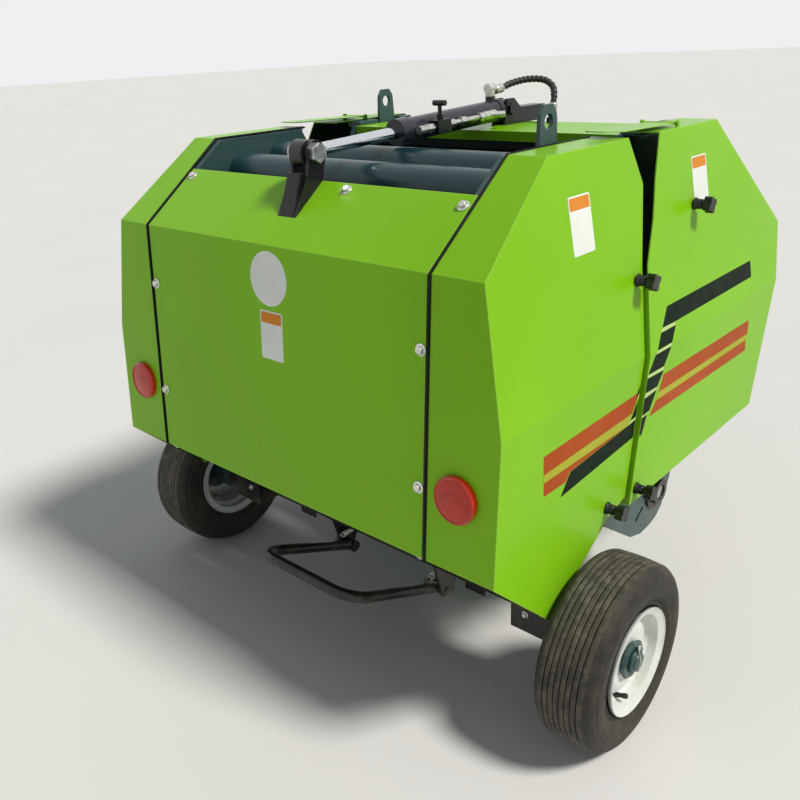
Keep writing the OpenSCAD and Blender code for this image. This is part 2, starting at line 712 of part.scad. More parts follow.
module on_wheel(side) translate([side * wheel_x, axle_y - mid_y, tyre_r])
    rotate([0, side * 90, 0]) children();

// pressed rim: flanges, bead seats, a well and a dished disc
module wheel_rim(side) color(white) on_wheel(side)
    rotate_extrude($fn = 96) polygon([[hub_r, 34], [58, 34], [70, 30], [82, 18], [86, -30],
        [95, -38], [95, -55], [rim_r - 2, -58], [rim_r, -61], [rim_r + 1, -58], [rim_r - 1, -53],
        [99, -51], [99, -34], [90, -27], [88, 24], [98, 34], [99, 51], [rim_r - 1, 57],
        [rim_r + 1, 62], [rim_r, 65], [rim_r - 3, 62], [96, 56], [94, 38], [84, 28], [74, 37],
        [60, 40], [hub_r, 40]]);
module wheel_rim_left() wheel_rim(-1);
module wheel_rim_right() wheel_rim(1);

// hub with its flange, bearing barrel and eight-sided cap plate
module wheel_hub(side) color(slate) on_wheel(side) {
    difference() {
        union() {
            translate([0, 0, -45]) cylinder(r = hub_r - 1, h = 90);
            translate([0, 0, 26]) cylinder(r = 56, h = 8);
            translate([0, 0, 45]) cylinder(r = 40, h = 7, $fn = 8);
        }
        translate([0, 0, -46]) cylinder(r = spindle_r + fit, h = 120);
    }
}
module wheel_hub_left() wheel_hub(-1);
module wheel_hub_right() wheel_hub(1);

module tyre(side) color([0.05, 0.05, 0.05]) on_wheel(side) rotate_extrude($fn = 96) polygon([
    [99.3, -50.7], [rim_r + 1.5, -52], [rim_r + 12, -57], [tyre_r - 60, 3 - tyre_w / 2],
    [tyre_r - 38, -tyre_w / 2], [tyre_r - 20, 4 - tyre_w / 2], [tyre_r - 7, 16 - tyre_w / 2],
    [tyre_r, 30 - tyre_w / 2], [tyre_r, tyre_w / 2 - 30], [tyre_r - 7, tyre_w / 2 - 16],
    [tyre_r - 20, tyre_w / 2 - 4], [tyre_r - 38, tyre_w / 2], [tyre_r - 60, tyre_w / 2 - 3],
    [rim_r + 12, 58], [rim_r + 1.5, 55.5], [99.3, 50.7]]);
module tyre_left() tyre(-1);
module tyre_right() tyre(1);

// bent tube that the bale rolls down on, pivoting under the axle
module bale_ramp() color(black) placed() translate([0, ramp_pivot.x, ramp_pivot.y]) {
    rise = ramp_end - ramp_pivot;
    rotate([-atan2(rise.y, -rise.x), 0, 0]) {
        l = norm(rise);
        both_sides() {
            translate([ramp_x, 0, 0]) rotate([90, 0, 0]) cylinder(r = ramp_r, h = l - ramp_bend);
            translate([ramp_x - ramp_bend, ramp_bend - l, 0]) rotate([0, 0, -90])
                rotate_extrude(angle = 90) translate([ramp_bend, 0]) circle(ramp_r);
            translate([ramp_x - 4, -66, 0]) cube([8, 12, ramp_r + 14]);
        }
        translate([ramp_bend - ramp_x, -l, 0]) rotate([0, 90, 0])
            cylinder(r = ramp_r, h = 2 * (ramp_x - ramp_bend));
    }
    both_sides() rod_x(ramp_x - ramp_r - 4, ramp_x + ramp_r + 14, ramp_pin_r, [0, 0]);
    both_sides() rod_x(ramp_x - ramp_r - 1, ramp_x + ramp_r + 2, ramp_r + 3, [0, 0]);
}

module ramp_springs() color(zinc) placed() both_sides()
    translate([ramp_x, ramp_pivot.x - 37.3, ramp_pivot.y + 45]) rotate([-88, 0, 0])
        coil(8, 1.6, 11, 68.1);

// drawbar: two box arms that meet in a beam
module drawbar() color(black) placed() {
    both_sides() hull() {
        translate([plate_in - 80, pto_y + 11, hitch_z - 30]) cube([50, 10, 60]);
        translate([0, jack_y - 110, hitch_z - 30]) cube([50, 10, 60]);
    }
    translate([-plate_in, pto_y - 35, hitch_z - 30]) cube([2 * plate_in, 46, rail_z - hitch_z + 30]);
    translate([-35, jack_y - 120, hitch_z - 30]) cube([70, 270, 60]);
}

module hitch_eye() color(black) placed() difference() {
    union() {
        translate([-35, jack_y + 150, hitch_z - 12]) cube([70, hitch_y - jack_y - 150, 24]);
        translate([0, hitch_y, hitch_z - 12]) cylinder(r = hitch_hole_r + 29, h = 24);
    }
    translate([0, hitch_y, hitch_z - 20]) cylinder(r = hitch_hole_r, h = 40);
}

module jack_tube() color(slate) placed() difference() {
    union() {
        translate([jack_x, jack_y, 180]) cylinder(r = jack_leg_r + 5, h = 420);
        translate([jack_x, jack_y, 588]) cylinder(r = jack_leg_r + 9, h = 14);
        translate([jack_x, jack_y, 176]) cylinder(r = jack_leg_r + 9, h = 12);
        translate([35, jack_y - 15, hitch_z - 25]) cube([45, 30, 50]);
    }
    translate([jack_x, jack_y, 170]) cylinder(r = jack_leg_r + fit, h = 410);
}

module jack_leg() color(zinc) placed() translate([jack_x, jack_y, ground]) {
    cylinder(r = jack_leg_r, h = 386);
    rotate_extrude() polygon([[0, 0], [65, 0], [65, 4], [30, 9], [30, 22], [0, 22]]);
}

module jack_crank() color(black) placed() translate([jack_x, jack_y, 602]) {
    cylinder(r = 9, h = 28);
    translate([-8, -8, 24]) cube([110, 16, 8]);
    translate([92, 0, 32]) cylinder(r = 6, h = 12);
    translate([92, 0, 40]) cylinder(r = 13, h = 70);
}

// angle gearbox on its stand, with the cross shaft to the left side
module gearbox() color(slate) placed() difference() {
    union() {
        translate([0, pto_y, pto_z]) for (x = [-60, 60]) rotate([0, 90, 0])
            translate([0, 0, x - 12]) cylinder(r = 66, h = 24);
        translate([-60, pto_y - 58, pto_z - 58]) cube([120, 116, 116]);
        translate([0, pto_y + 57, pto_z]) rotate([-90, 0, 0]) cylinder(r = 50, h = 10);
        translate([0, pto_y + 66, pto_z]) rotate([-90, 0, 0]) cylinder(r = 34, h = 18);
        rod_x(-plate_out - pickup_out + 10, 0, 20, [pto_y, pto_z]);
        translate([-100, pto_y - 30, rail_z + rail_h]) cube([200, 40, pto_z - rail_z - rail_h - 50]);
        translate([-100, pto_y - 40, rail_z + rail_h]) cube([200, 60, 10]);
    }
    translate([0, pto_y + 30, pto_z]) rotate([-90, 0, 0]) cylinder(r = pto_journal_r + fit, h = 80);
}

// journal in the housing, neck, and the free stub that takes the drive shaft's yoke
module pto_shaft() color(zinc) placed() translate([0, pto_y, pto_z]) rotate([-90, 0, 0]) {
    translate([0, 0, 30.3]) cylinder(r = pto_journal_r, h = 53.7);
    translate([0, 0, 80]) cylinder(r = pto_neck_r, h = 12);
    translate([0, 0, 90]) cylinder(r = pto_r, h = 76);
}

// side plates of the pickup, with the bars between them
module pickup_frame() color(slate) placed() {
    both_sides() slab(pickup_x - pickup_t, pickup_x) difference() {
        polygon([[reel_y + 90, chin_z - 22], [reel_y + 90, reel_z + 27], [reel_y + 84, reel_z + 2],
            [reel_y + 73, reel_z - 21], [reel_y + 49, reel_z - 66], [reel_y + 22, reel_z - 86],
            [reel_y - 14, reel_z - 95], [reel_y - 60, reel_z - 97], [reel_y - 114, reel_z - 81],
            [reel_y - 250, reel_z + 16], [reel_y - 250, chin_z - 22]]);
        translate([reel_y, reel_z]) circle(reel_shaft_r + fit);
        translate([reel_y - 90, reel_z - 44]) rotate(35) stadium(6, 34);
    }
    for (p = stripper_bars) rod_x(-pickup_x + pickup_t / 2, pickup_x - pickup_t / 2,
        stripper_bar_r, p);
    translate([-pickup_x + pickup_t / 2, reel_y - 246, reel_z + 47])
        cube([2 * pickup_x - pickup_t, 30, 30]);
}

// bearing of the reel and the bent bracket beside it, on each side plate
module pickup_bracket() color(black) placed() both_sides() {
    difference() {
        union() {
            rod_x(pickup_x, pickup_x + 6, 46, [reel_y, reel_z]);
            rod_x(pickup_x, pickup_x + 18, 32, [reel_y, reel_z]);
        }
        rod_x(pickup_x - 1, pickup_x + 20, reel_shaft_r + fit, [reel_y, reel_z]);
    }
    slab(pickup_x, pickup_x + 7) polygon([[reel_y - 76, chin_z - 24], [reel_y - 40, chin_z - 24],
        [reel_y - 50, reel_z + 38], [reel_y - 62, reel_z + 16], [reel_y - 72, reel_z + 44]]);
}

// bands that strip the crop off the tines: a bent sheet round the reel
module pickup_strippers() color(green) placed()
    for (i = [0:bands - 1]) let (x = (i - (bands - 1) / 2) * stripper_step)
        slab(x - stripper_step / 4, x + stripper_step / 4) difference() {
            union() {
                translate([reel_y, reel_z]) circle(stripper_r);
                polygon([stripper_bars[0], [reel_y - 20, reel_z + stripper_r - 2],
                    [reel_y - 30, reel_z - stripper_r + 4.1], stripper_bars[1]]);
            }
            translate([reel_y, reel_z]) circle(stripper_r - sheet_t);
            polygon([stripper_bars[0] + [-9, -4], [reel_y - 20, reel_z + stripper_r - 5],
                [reel_y - 29, reel_z - stripper_r + 7.1], stripper_bars[1] + [-9, 4]]);
            for (p = stripper_bars) translate(p) circle(stripper_bar_r);
        }

// reel: shaft, four tine bars on spiders, and a pair of tines in each gap
module pickup_reel() color(zinc) placed() translate([0, reel_y, reel_z]) {
    rod_x(-pickup_x - 14, pickup_x + 14, reel_shaft_r, [0, 0]);
    for (x = [-1, 0, 1]) slab(x * (pickup_x - 30) - 3, x * (pickup_x - 30) + 3) {
        circle(34);
        for (k = [0:3]) rotate(k * 90) translate([0, -9]) square([tine_bar_r, 18]);
    }
    for (k = [0:3]) rotate([k * 90, 0, 0]) {
        rod_x(27 - pickup_x, pickup_x - 27, 11, [tine_bar_r, 0]);
        for (i = [0:bands - 2]) for (s = [-1, 1])
            translate([(i - (bands - 2) / 2) * stripper_step + s * 11, tine_bar_r + 9, 0])
                rotate([-82, 0, 0]) cylinder(r = 3, h = tine_tip_r - tine_bar_r - 9);
    }
}

frame_side_plates();
frame_bearings();
chassis_rails();
axle_beam();
top_panel();
front_panel();
twine_box();
twine_box_lid();
front_cover_left();
front_cover_right();
front_rollers();
cover_knobs_front();
lifting_lug_front();
cylinder_anchor();
drawbar();
hitch_eye();
jack_tube();
jack_leg();
jack_crank();
gearbox();
pto_shaft();
pickup_frame();
pickup_bracket();
pickup_strippers();
pickup_reel();
tailgate_panel();
tailgate_side_plates();
gate_bearings();
tailgate_rollers();
rear_cover_left();
rear_cover_right();
cover_knobs_rear();
lifting_lug_rear();
reflectors();
cylinder_clevis();
cylinder_barrel();
cylinder_lines();
shutoff_valve();
cylinder_rod();
hydraulic_hose();
flap_left();
flap_right();
wheel_rim_left();
wheel_rim_right();
wheel_hub_left();
wheel_hub_right();
tyre_left();
tyre_right();
bale_ramp();
ramp_springs();
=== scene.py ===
# Looks of the round baler: materials, tyres, stripes, blank labels, bolts, hose and springs.
# Lengths are written in millimetres, in the drawing frame of the part's source: x to the
# right, y forward from the crease across the rear of the body, z up. mm() moves them to
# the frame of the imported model, in metres. Profiles of turned pieces are (radius, height).
import json
import math

import bmesh
import bpy
from mathutils import Matrix, Vector


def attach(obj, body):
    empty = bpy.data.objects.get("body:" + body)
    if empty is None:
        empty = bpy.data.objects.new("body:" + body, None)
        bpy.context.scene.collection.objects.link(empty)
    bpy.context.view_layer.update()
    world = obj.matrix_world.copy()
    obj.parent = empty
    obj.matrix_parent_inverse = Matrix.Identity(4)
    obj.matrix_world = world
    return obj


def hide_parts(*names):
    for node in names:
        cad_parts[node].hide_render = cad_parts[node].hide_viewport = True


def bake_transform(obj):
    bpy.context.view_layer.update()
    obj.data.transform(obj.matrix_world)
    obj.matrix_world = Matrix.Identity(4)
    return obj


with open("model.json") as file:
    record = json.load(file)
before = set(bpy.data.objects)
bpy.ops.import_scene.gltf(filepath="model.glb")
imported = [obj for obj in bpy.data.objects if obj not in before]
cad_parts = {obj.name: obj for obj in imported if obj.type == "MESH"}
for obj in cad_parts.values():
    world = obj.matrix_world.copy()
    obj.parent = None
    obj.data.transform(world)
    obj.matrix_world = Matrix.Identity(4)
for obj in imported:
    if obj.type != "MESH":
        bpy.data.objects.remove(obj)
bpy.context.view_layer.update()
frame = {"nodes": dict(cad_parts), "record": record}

# Sizes of the part that the pieces here sit on, in millimetres
MID_Y = 907
SIDE_X = 563
LEAN_Z = 745
LEAN_RATE = 0.1815
COVER_STEP = 9
TOP_Z = 1158
CREASE_Z = 998
SLOPE_L = 213
REAR_OUT = 43
REAR_Z = 476
WHEEL_X = 636
AXLE_Y = 254
TYRE_R = 198
TYRE_W = 134
RIM_R = 112
HUB_FACE = 52
REEL_Y = 755
REEL_Z = 285
TINE_BAR_R = 86
PTO_Y = 1075
PTO_Z = 575

SIDES = ((-1, "left"), (1, "right"))


def mm(x, y, z):
    return Vector((x / 1000, (y - MID_Y) / 1000, z / 1000))


def metres(points):
    """Pairs in millimetres as pairs in metres."""
    return [(a / 1000, b / 1000) for a, b in points]


def skin_x(z, grow=0):
    """Half width of the side sheet at a height, which leans inwards above LEAN_Z."""
    return SIDE_X + grow - max(0, z - LEAN_Z) * LEAN_RATE


# Camera at the photograph's viewing angle
CAMERA_AT = (1250, -994, 1337)
CAMERA_YAW = 42.82
CAMERA_PITCH = 23.15
CAMERA_ROLL = -2.91
LENS = 37.28
SENSOR = 36
CLIP_START = 0.05


def make_camera():
    yaw, pitch, roll = (math.radians(a) for a in (CAMERA_YAW, CAMERA_PITCH, CAMERA_ROLL))
    ahead = Vector((-math.sin(yaw) * math.cos(pitch), math.cos(yaw) * math.cos(pitch),
                    -math.sin(pitch)))
    level = Vector((math.cos(yaw), math.sin(yaw), 0))
    above = level.cross(ahead)
    right = math.cos(roll) * level + math.sin(roll) * above
    up = -math.sin(roll) * level + math.cos(roll) * above
    data = bpy.data.cameras.new("camera")
    data.sensor_fit = "HORIZONTAL"
    data.sensor_width = SENSOR
    data.lens = LENS
    data.clip_start = CLIP_START
    camera = bpy.data.objects.new("camera", data)
    bpy.context.scene.collection.objects.link(camera)
    turn = Matrix((right, up, -ahead)).transposed().to_4x4()
    camera.matrix_world = Matrix.Translation(mm(*CAMERA_AT)) @ turn
    bpy.context.scene.camera = camera


make_camera()


# Node trees
class Tree:
    """A material's node tree with short calls to add and join nodes."""

    def __init__(self, name, rough, metal=0.0, coat=0.0, coat_rough=0.05, specular=0.5):
        self.mat = bpy.data.materials.new(name)
        self.mat.use_nodes = True
        self.nodes = self.mat.node_tree.nodes
        self.links = self.mat.node_tree.links
        self.shader = self.nodes["Principled BSDF"]
        self.shader.inputs["Roughness"].default_value = rough
        self.shader.inputs["Metallic"].default_value = metal
        self.shader.inputs["Coat Weight"].default_value = coat
        self.shader.inputs["Coat Roughness"].default_value = coat_rough
        self.shader.inputs["Specular IOR Level"].default_value = specular
        self.place = self.add("ShaderNodeTexCoord").outputs["Object"]

    def add(self, kind, **settings):
        node = self.nodes.new(kind)
        for key, value in settings.items():
            setattr(node, key, value)
        return node

    def put(self, socket, value):
        if isinstance(value, bpy.types.NodeSocket):
            self.links.new(value, socket)
        else:
            socket.default_value = value

    def noise(self, scale, detail=4.0, rough=0.55, stretch=None):
        """Noise from 0 to 1. scale is in cells to a metre."""
        node = self.add("ShaderNodeTexNoise")
        node.inputs["Scale"].default_value = scale
        node.inputs["Detail"].default_value = detail
        node.inputs["Roughness"].default_value = rough
        place = self.place
        if stretch:
            mapping = self.add("ShaderNodeMapping")
            mapping.inputs["Scale"].default_value = stretch
            self.links.new(place, mapping.inputs["Vector"])
            place = mapping.outputs["Vector"]
        self.links.new(place, node.inputs["Vector"])
        return node.outputs["Fac"]

    def ramp(self, value, low, high, a=0.0, b=1.0):
        """Goes smoothly from a to b while the value goes from low to high."""
        node = self.add("ShaderNodeMapRange", interpolation_type="SMOOTHSTEP")
        self.put(node.inputs["Value"], value)
        for name, number in (("From Min", low), ("From Max", high), ("To Min", a), ("To Max", b)):
            node.inputs[name].default_value = number
        return node.outputs["Result"]

    def math(self, what, a, b=0.0):
        node = self.add("ShaderNodeMath", operation=what)
        self.put(node.inputs[0], a)
        self.put(node.inputs[1], b)
        return node.outputs["Value"]

    def times(self, a, b):
        return self.math("MULTIPLY", a, b)

    def plus(self, a, b):
        return self.math("ADD", a, b)

    def vector(self, what, a, b=None):
        """A vector node joined to socket a, with b as a fixed vector or a socket."""
        node = self.add("ShaderNodeVectorMath", operation=what)
        self.links.new(a, node.inputs[0])
        if b is not None:
            self.put(node.inputs[1], b)
        return node.outputs

    def mix(self, share, a, b):
        node = self.add("ShaderNodeMix", data_type="RGBA")
        self.put(node.inputs["Factor"], share)
        self.put(node.inputs["A"], a)
        self.put(node.inputs["B"], b)
        return node.outputs["Result"]

    def part(self, vector, which):
        split = self.add("ShaderNodeSeparateXYZ")
        self.links.new(vector, split.inputs["Vector"])
        return split.outputs[which]

    def axis(self, which):
        return self.part(self.place, which)

    def inward(self):
        """1 on faces that look towards the middle plane of the machine, 0 on the others."""
        across = self.part(self.add("ShaderNodeTexCoord").outputs["Normal"], "X")
        side = self.math("SIGN", self.axis("X"))
        return self.ramp(self.times(across, side), -0.5, -0.8)

    def bump(self, height, depth, strength=1.0, after=None):
        """A bump as deep as depth, in metres, on top of the normal after."""
        node = self.add("ShaderNodeBump")
        node.inputs["Distance"].default_value = depth
        node.inputs["Strength"].default_value = strength
        self.put(node.inputs["Height"], height)
        if after:
            self.links.new(after, node.inputs["Normal"])
        return node.outputs["Normal"]

    def round_edges(self, radius):
        bevel = self.add("ShaderNodeBevel", samples=4)
        bevel.inputs["Radius"].default_value = radius
        return bevel.outputs["Normal"]

    def edges(self, radius=0.003):
        """1 along sharp outer and inner edges, 0 on flat faces."""
        flat = self.add("ShaderNodeNewGeometry").outputs["Normal"]
        dot = self.vector("DOT_PRODUCT", self.round_edges(radius), flat)
        return self.ramp(dot["Value"], 0.995, 0.86)

    def finish(self, colour, rough=None, normal=None):
        self.put(self.shader.inputs["Base Color"], colour)
        if rough is not None:
            self.put(self.shader.inputs["Roughness"], rough)
        if normal is not None:
            self.links.new(normal, self.shader.inputs["Normal"])
        return self.mat


def tone(red, green, blue):
    """An sRGB colour, 0 to 255, as linear values."""
    def linear(v):
        v = v / 255
        return v / 12.92 if v <= 0.04045 else ((v + 0.055) / 1.055) ** 2.4
    return tuple(linear(v) for v in (red, green, blue)) + (1,)


def shade(colour, gain, lift=0.0):
    """A linear colour made brighter or darker."""
    return tuple(min(1, c * gain + lift) for c in colour[:3]) + (1,)


DUST = tone(164, 150, 124)
GRIME = tone(70, 60, 48)
SCUFFED = tone(128, 122, 110)

# Stretches of a noise that spread its tones: most of it, its middle, and its upper part
WIDE = (0.34, 0.68)
MILD = (0.3, 0.7)
PLAIN = (0.35, 0.7)
CLOUDS = (0.42, 0.72)

# Sizes of the grain of each surface, in cells to a metre, and its depth in metres
TONE_SCALE = 1.7
CLOUD_SCALE = 9.0
CHIP_SCALE = 38.0
SHEEN_SCALE = 5.0
SPLASH_SCALE = 160.0
PEEL_SCALE = 420.0
PEEL_DEPTH = 0.00005
SCRATCH_SCALE = 260.0
SCRATCH_DEPTH = 0.00003
CAST_SCALE = 300.0
MOULD_SCALE = 900.0
MOULD_DEPTH = 0.00005
RUBBER_SCALE = 700.0
RUBBER_DEPTH = 0.00012
PRINT_SCALE = 300.0
PRINT_DEPTH = 0.00004
PRISM_SCALE = 210.0
PRISM_DEPTH = 0.0004

# Radius of the edges, in metres
SHEET_EDGE = 0.0012
STEEL_EDGE = 0.0008
CAST_EDGE = 0.001
MOULD_EDGE = 0.0018

# Height under which dust gathers on the paint, and where it is thickest, in metres
DUST_TOP = 0.75
DUST_FOOT = 0.12


def paint(name, colour, rough, coat, dust=0.25, wear_and_highlight=None, worn=0.35, top=DUST_TOP, even=0.9,
          steady=False, specular=0.3, inside=None):
    """Sprayed paint: uneven tone, orange peel, dust that thickens towards the ground, chipped
    edges.
    On the body paint the edge colour is instead an unbroken painted highlight along the edges.
    inside is a dark painted shade on faces that look towards the middle of the machine."""
    t = Tree(name, rough, coat=coat, coat_rough=0.07, specular=specular)
    coloured = t.mix(t.ramp(t.noise(TONE_SCALE, 2.0), *WIDE),
                     shade(colour, even), shade(colour, 2 - even, 0.002))
    cloud = t.ramp(t.noise(CLOUD_SCALE, 8.0, 0.65), *CLOUDS)
    low = t.ramp(t.axis("Z"), top, DUST_FOOT)
    splash = t.times(t.ramp(t.noise(SPLASH_SCALE, 2.0), 0.66, 0.76), t.ramp(low, 0, 1, 0, 0.3))
    film = t.math("MAXIMUM", t.times(t.times(cloud, low), dust), t.times(splash, dust * 2))
    # Edges in a second colour: chipped in patches, and where steady is set, an unbroken painted
    # highlight along every edge.
    if wear_and_highlight:
        edge = t.edges()
        if not steady:
            edge = t.times(edge, t.ramp(t.noise(CHIP_SCALE, 5.0), 0.40, 0.66))
        coloured = t.mix(t.times(edge, worn), coloured, wear_and_highlight)
    # Painted shade: faces that look towards the middle of the machine take the darker inside
    # colour.
    if inside:
        coloured = t.mix(t.inward(), coloured, inside)
    sheen = t.ramp(t.noise(SHEEN_SCALE, 6.0), *MILD, rough - 0.03, rough + 0.05)
    skin = t.bump(t.noise(PEEL_SCALE, 2.0), PEEL_DEPTH, 0.35, t.round_edges(SHEET_EDGE))
    return t.finish(t.mix(film, coloured, DUST), t.plus(sheen, t.times(film, 0.5)), skin)


def plated(name, colour, dark, rough):
    """Plated metal: mottled tone, fine scratches, grime in patches."""
    t = Tree(name, rough, metal=1.0)
    mottle = t.ramp(t.noise(30.0, 6.0, 0.6), *WIDE)
    dirt = t.times(t.ramp(t.noise(7.0, 7.0, 0.65), 0.5, 0.78), 0.2)
    base = t.mix(dirt, t.mix(t.times(mottle, 0.5), colour, dark), GRIME)
    lines = t.noise(SCRATCH_SCALE, 3.0, 0.5)
    sheen = t.ramp(lines, *MILD, rough - 0.06, rough + 0.10)
    return t.finish(base, t.plus(sheen, t.times(dirt, 0.6)),
                    t.bump(lines, SCRATCH_DEPTH, 0.4, t.round_edges(STEEL_EDGE)))


def plastic(name, colour, rough, specular=0.4):
    t = Tree(name, rough, specular=specular)
    base = t.mix(t.ramp(t.noise(14.0, 5.0), *PLAIN), colour, shade(colour, 1.5, 0.004))
    return t.finish(base, t.ramp(t.noise(40.0, 4.0), *MILD, rough - 0.06, rough + 0.1),
                    t.bump(t.noise(MOULD_SCALE, 2.0), MOULD_DEPTH, 0.5, t.round_edges(MOULD_EDGE)))


def rubber(name, colour, dust, amount):
    """Rubber that has rolled over dry ground: dust in clouds, and pale scuffs on the tread."""
    t = Tree(name, 0.72, specular=0.3)
    cloud = t.ramp(t.noise(11.0, 8.0, 0.66), 0.38, 0.72)
    fine = t.ramp(t.noise(95.0, 6.0, 0.7), 0.44, 0.70)
    film = t.times(t.plus(t.times(cloud, 0.65), t.times(fine, 0.35)), amount)
    base = t.mix(t.ramp(t.noise(30.0, 4.0), *PLAIN), colour, shade(colour, 1.7))
    # distance from the axle, which is the same for both wheels
    from_axle = t.vector("SUBTRACT", t.place, mm(0, AXLE_Y, TYRE_R))["Vector"]
    reach = t.vector("LENGTH", t.vector("MULTIPLY", from_axle, (0, 1, 1))["Vector"])["Value"]
    tread = t.ramp(reach, (TYRE_R - 5) / 1000, (TYRE_R - 1) / 1000)
    scuff = t.ramp(t.noise(46.0, 9.0, 0.75, stretch=(1, 1, 0.6)), 0.42, 0.66, 0.1, 0.62)
    base = t.mix(t.times(tread, scuff), base, SCUFFED)
    return t.finish(t.mix(film, base, dust), t.plus(0.62, t.times(film, 0.4)),
                    t.bump(t.noise(RUBBER_SCALE, 3.0), RUBBER_DEPTH, 0.6))


def print_film(name, colour, rough=0.32, specular=0.16, dust=0.06):
    """Printed film stuck on the sheet: even colour with slight fading and dust."""
    t = Tree(name, rough, specular=specular)
    base = t.mix(t.ramp(t.noise(6.0, 5.0), 0.4, 0.75), colour, shade(colour, 1.12, dust / 10))
    film = t.times(t.ramp(t.noise(30.0, 7.0, 0.7), 0.5, 0.8), dust)
    return t.finish(t.mix(film, base, DUST),
                    t.ramp(t.noise(20.0), *MILD, rough - 0.05, rough + 0.08),
                    t.bump(t.noise(PRINT_SCALE, 2.0), PRINT_DEPTH, 0.3))


def reflector_lens():
    """Moulded lens: small prisms under a glossy face."""
    t = Tree("reflector_lens", 0.16, coat=0.3, coat_rough=0.06, specular=0.3)
    cells = t.add("ShaderNodeTexVoronoi", feature="F1", distance="CHEBYCHEV")
    cells.inputs["Scale"].default_value = PRISM_SCALE
    cells.inputs["Randomness"].default_value = 0.0
    t.links.new(t.place, cells.inputs["Vector"])
    prism = t.ramp(cells.outputs["Distance"], 0.0, 0.6)
    colour = t.mix(prism, tone(214, 52, 22), tone(160, 26, 12))
    colour = t.mix(t.ramp(t.noise(9.0, 6.0), 0.5, 0.8, 0, 0.12), colour, DUST)
    # Painted glow: the lens gives out a faint red light of its own.
    t.shader.inputs["Emission Color"].default_value = tone(220, 50, 20)
    t.shader.inputs["Emission Strength"].default_value = 0.05
    return t.finish(colour, t.ramp(t.noise(60.0), *MILD, 0.12, 0.26),
                    t.bump(prism, PRISM_DEPTH, 0.5))


# Where the polished rod starts behind its eye, and the hex heads on the bracket's pin, in metres
ROD_FROM = -0.748
ROD_FADE = 0.001
HEAD_FROM = 0.0262
HEAD_FADE = 0.0002


def eye_steel():
    """Polished rod whose eye, behind ROD_FROM, is painted black."""
    t = Tree("rod_and_eye", 0.12)
    polished = t.ramp(t.axis("Y"), ROD_FROM - ROD_FADE, ROD_FROM + ROD_FADE)
    lines = t.noise(6.0, 6.0, 0.6, stretch=(1, 60, 60))
    steel = t.mix(t.times(t.ramp(lines, *WIDE), 0.3), tone(226, 228, 232), tone(150, 154, 160))
    t.put(t.shader.inputs["Metallic"], polished)
    black = t.mix(t.times(t.edges(), 0.3), tone(22, 24, 26), tone(110, 110, 108))
    return t.finish(t.mix(polished, black, steel), t.ramp(polished, 0, 1, 0.4, 0.13),
                    t.bump(lines, SCRATCH_DEPTH, 0.3, t.round_edges(STEEL_EDGE)))


def clevis_paint():
    """Black bracket with plated hex heads on the outer ends of its pin."""
    t = Tree("clevis_black", 0.38, coat=0.1, specular=0.3)
    across = t.math("ABSOLUTE", t.axis("X"))
    head = t.ramp(across, HEAD_FROM - HEAD_FADE, HEAD_FROM + HEAD_FADE)
    wear_and_highlight = t.times(t.edges(), t.ramp(t.noise(40.0, 5.0), 0.4, 0.65, 0, 0.5))
    black = t.mix(wear_and_highlight, tone(19, 21, 22), tone(96, 98, 98))
    zinc = t.mix(t.ramp(t.noise(60.0, 5.0), *PLAIN), tone(214, 216, 214), tone(156, 158, 156))
    t.put(t.shader.inputs["Metallic"], head)
    return t.finish(t.mix(head, black, zinc), t.ramp(t.noise(12.0, 5.0), *MILD, 0.3, 0.44),
                    t.bump(t.noise(CAST_SCALE, 2.0), PEEL_DEPTH, 0.4, t.round_edges(CAST_EDGE)))


LIME = tone(129, 193, 17)
MATERIALS = {
    # The body paint's pale green edge colour is an unbroken painted highlight along its folds and
    # edges.
    "body_paint": paint("body_paint", LIME, 0.30, 0.08, dust=0.07, wear_and_highlight=tone(190, 234, 120),
                        worn=0.5, even=0.96, steady=True, specular=0.12,
                        # its dark green inside colour is a painted shade on the inner faces of the
                        # covers
                        inside=tone(40, 62, 34)),
    "pickup_paint": paint("pickup_paint", LIME, 0.36, 0.2, dust=0.40, wear_and_highlight=tone(150, 140, 120)),
    "structure_paint": paint("structure_paint", tone(46, 72, 72), 0.36, 0.2, dust=0.22,
                             wear_and_highlight=tone(120, 134, 130), worn=0.4),
    "black_paint": paint("black_paint", tone(18, 19, 21), 0.34, 0.2, dust=0.24,
                         wear_and_highlight=tone(96, 94, 92), worn=0.4),
    "rim_paint": paint("rim_paint", tone(214, 218, 214), 0.34, 0.35, dust=0.30,
                       wear_and_highlight=tone(160, 152, 136), worn=0.25, top=0.6),
    "roller_steel": paint("roller_steel", tone(20, 56, 62), 0.28, 0.10, dust=0.06,
                          wear_and_highlight=tone(90, 104, 108)),
    "zinc": plated("zinc", tone(214, 214, 208), tone(146, 144, 136), 0.28),
    "rod_chrome": eye_steel(),
    "knob_plastic": plastic("knob_plastic", tone(15, 16, 16), 0.34),
    "reflector_red": reflector_lens(),
    "hose_rubber": plastic("hose_rubber", tone(17, 17, 18), 0.44),
    "seal_rubber": plastic("seal_rubber", tone(10, 12, 11), 0.5, 0.12),
    "tyre_rubber": rubber("tyre_rubber", tone(36, 34, 31), tone(112, 102, 88), 0.36),
}
NODE_MATERIALS = {
    "cylinder_clevis": clevis_paint(),
    "cylinder_barrel": paint("barrel_paint", tone(34, 38, 48), 0.30, 0.3, dust=0.06,
                             wear_and_highlight=tone(110, 112, 118)),
}


def dress_nodes():
    for part in frame["record"]["subparts"]:
        mesh = frame["nodes"][part["node"]].data
        mesh.materials.clear()
        mesh.materials.append(NODE_MATERIALS.get(part["node"], MATERIALS[part["material_slot"]]))


dress_nodes()


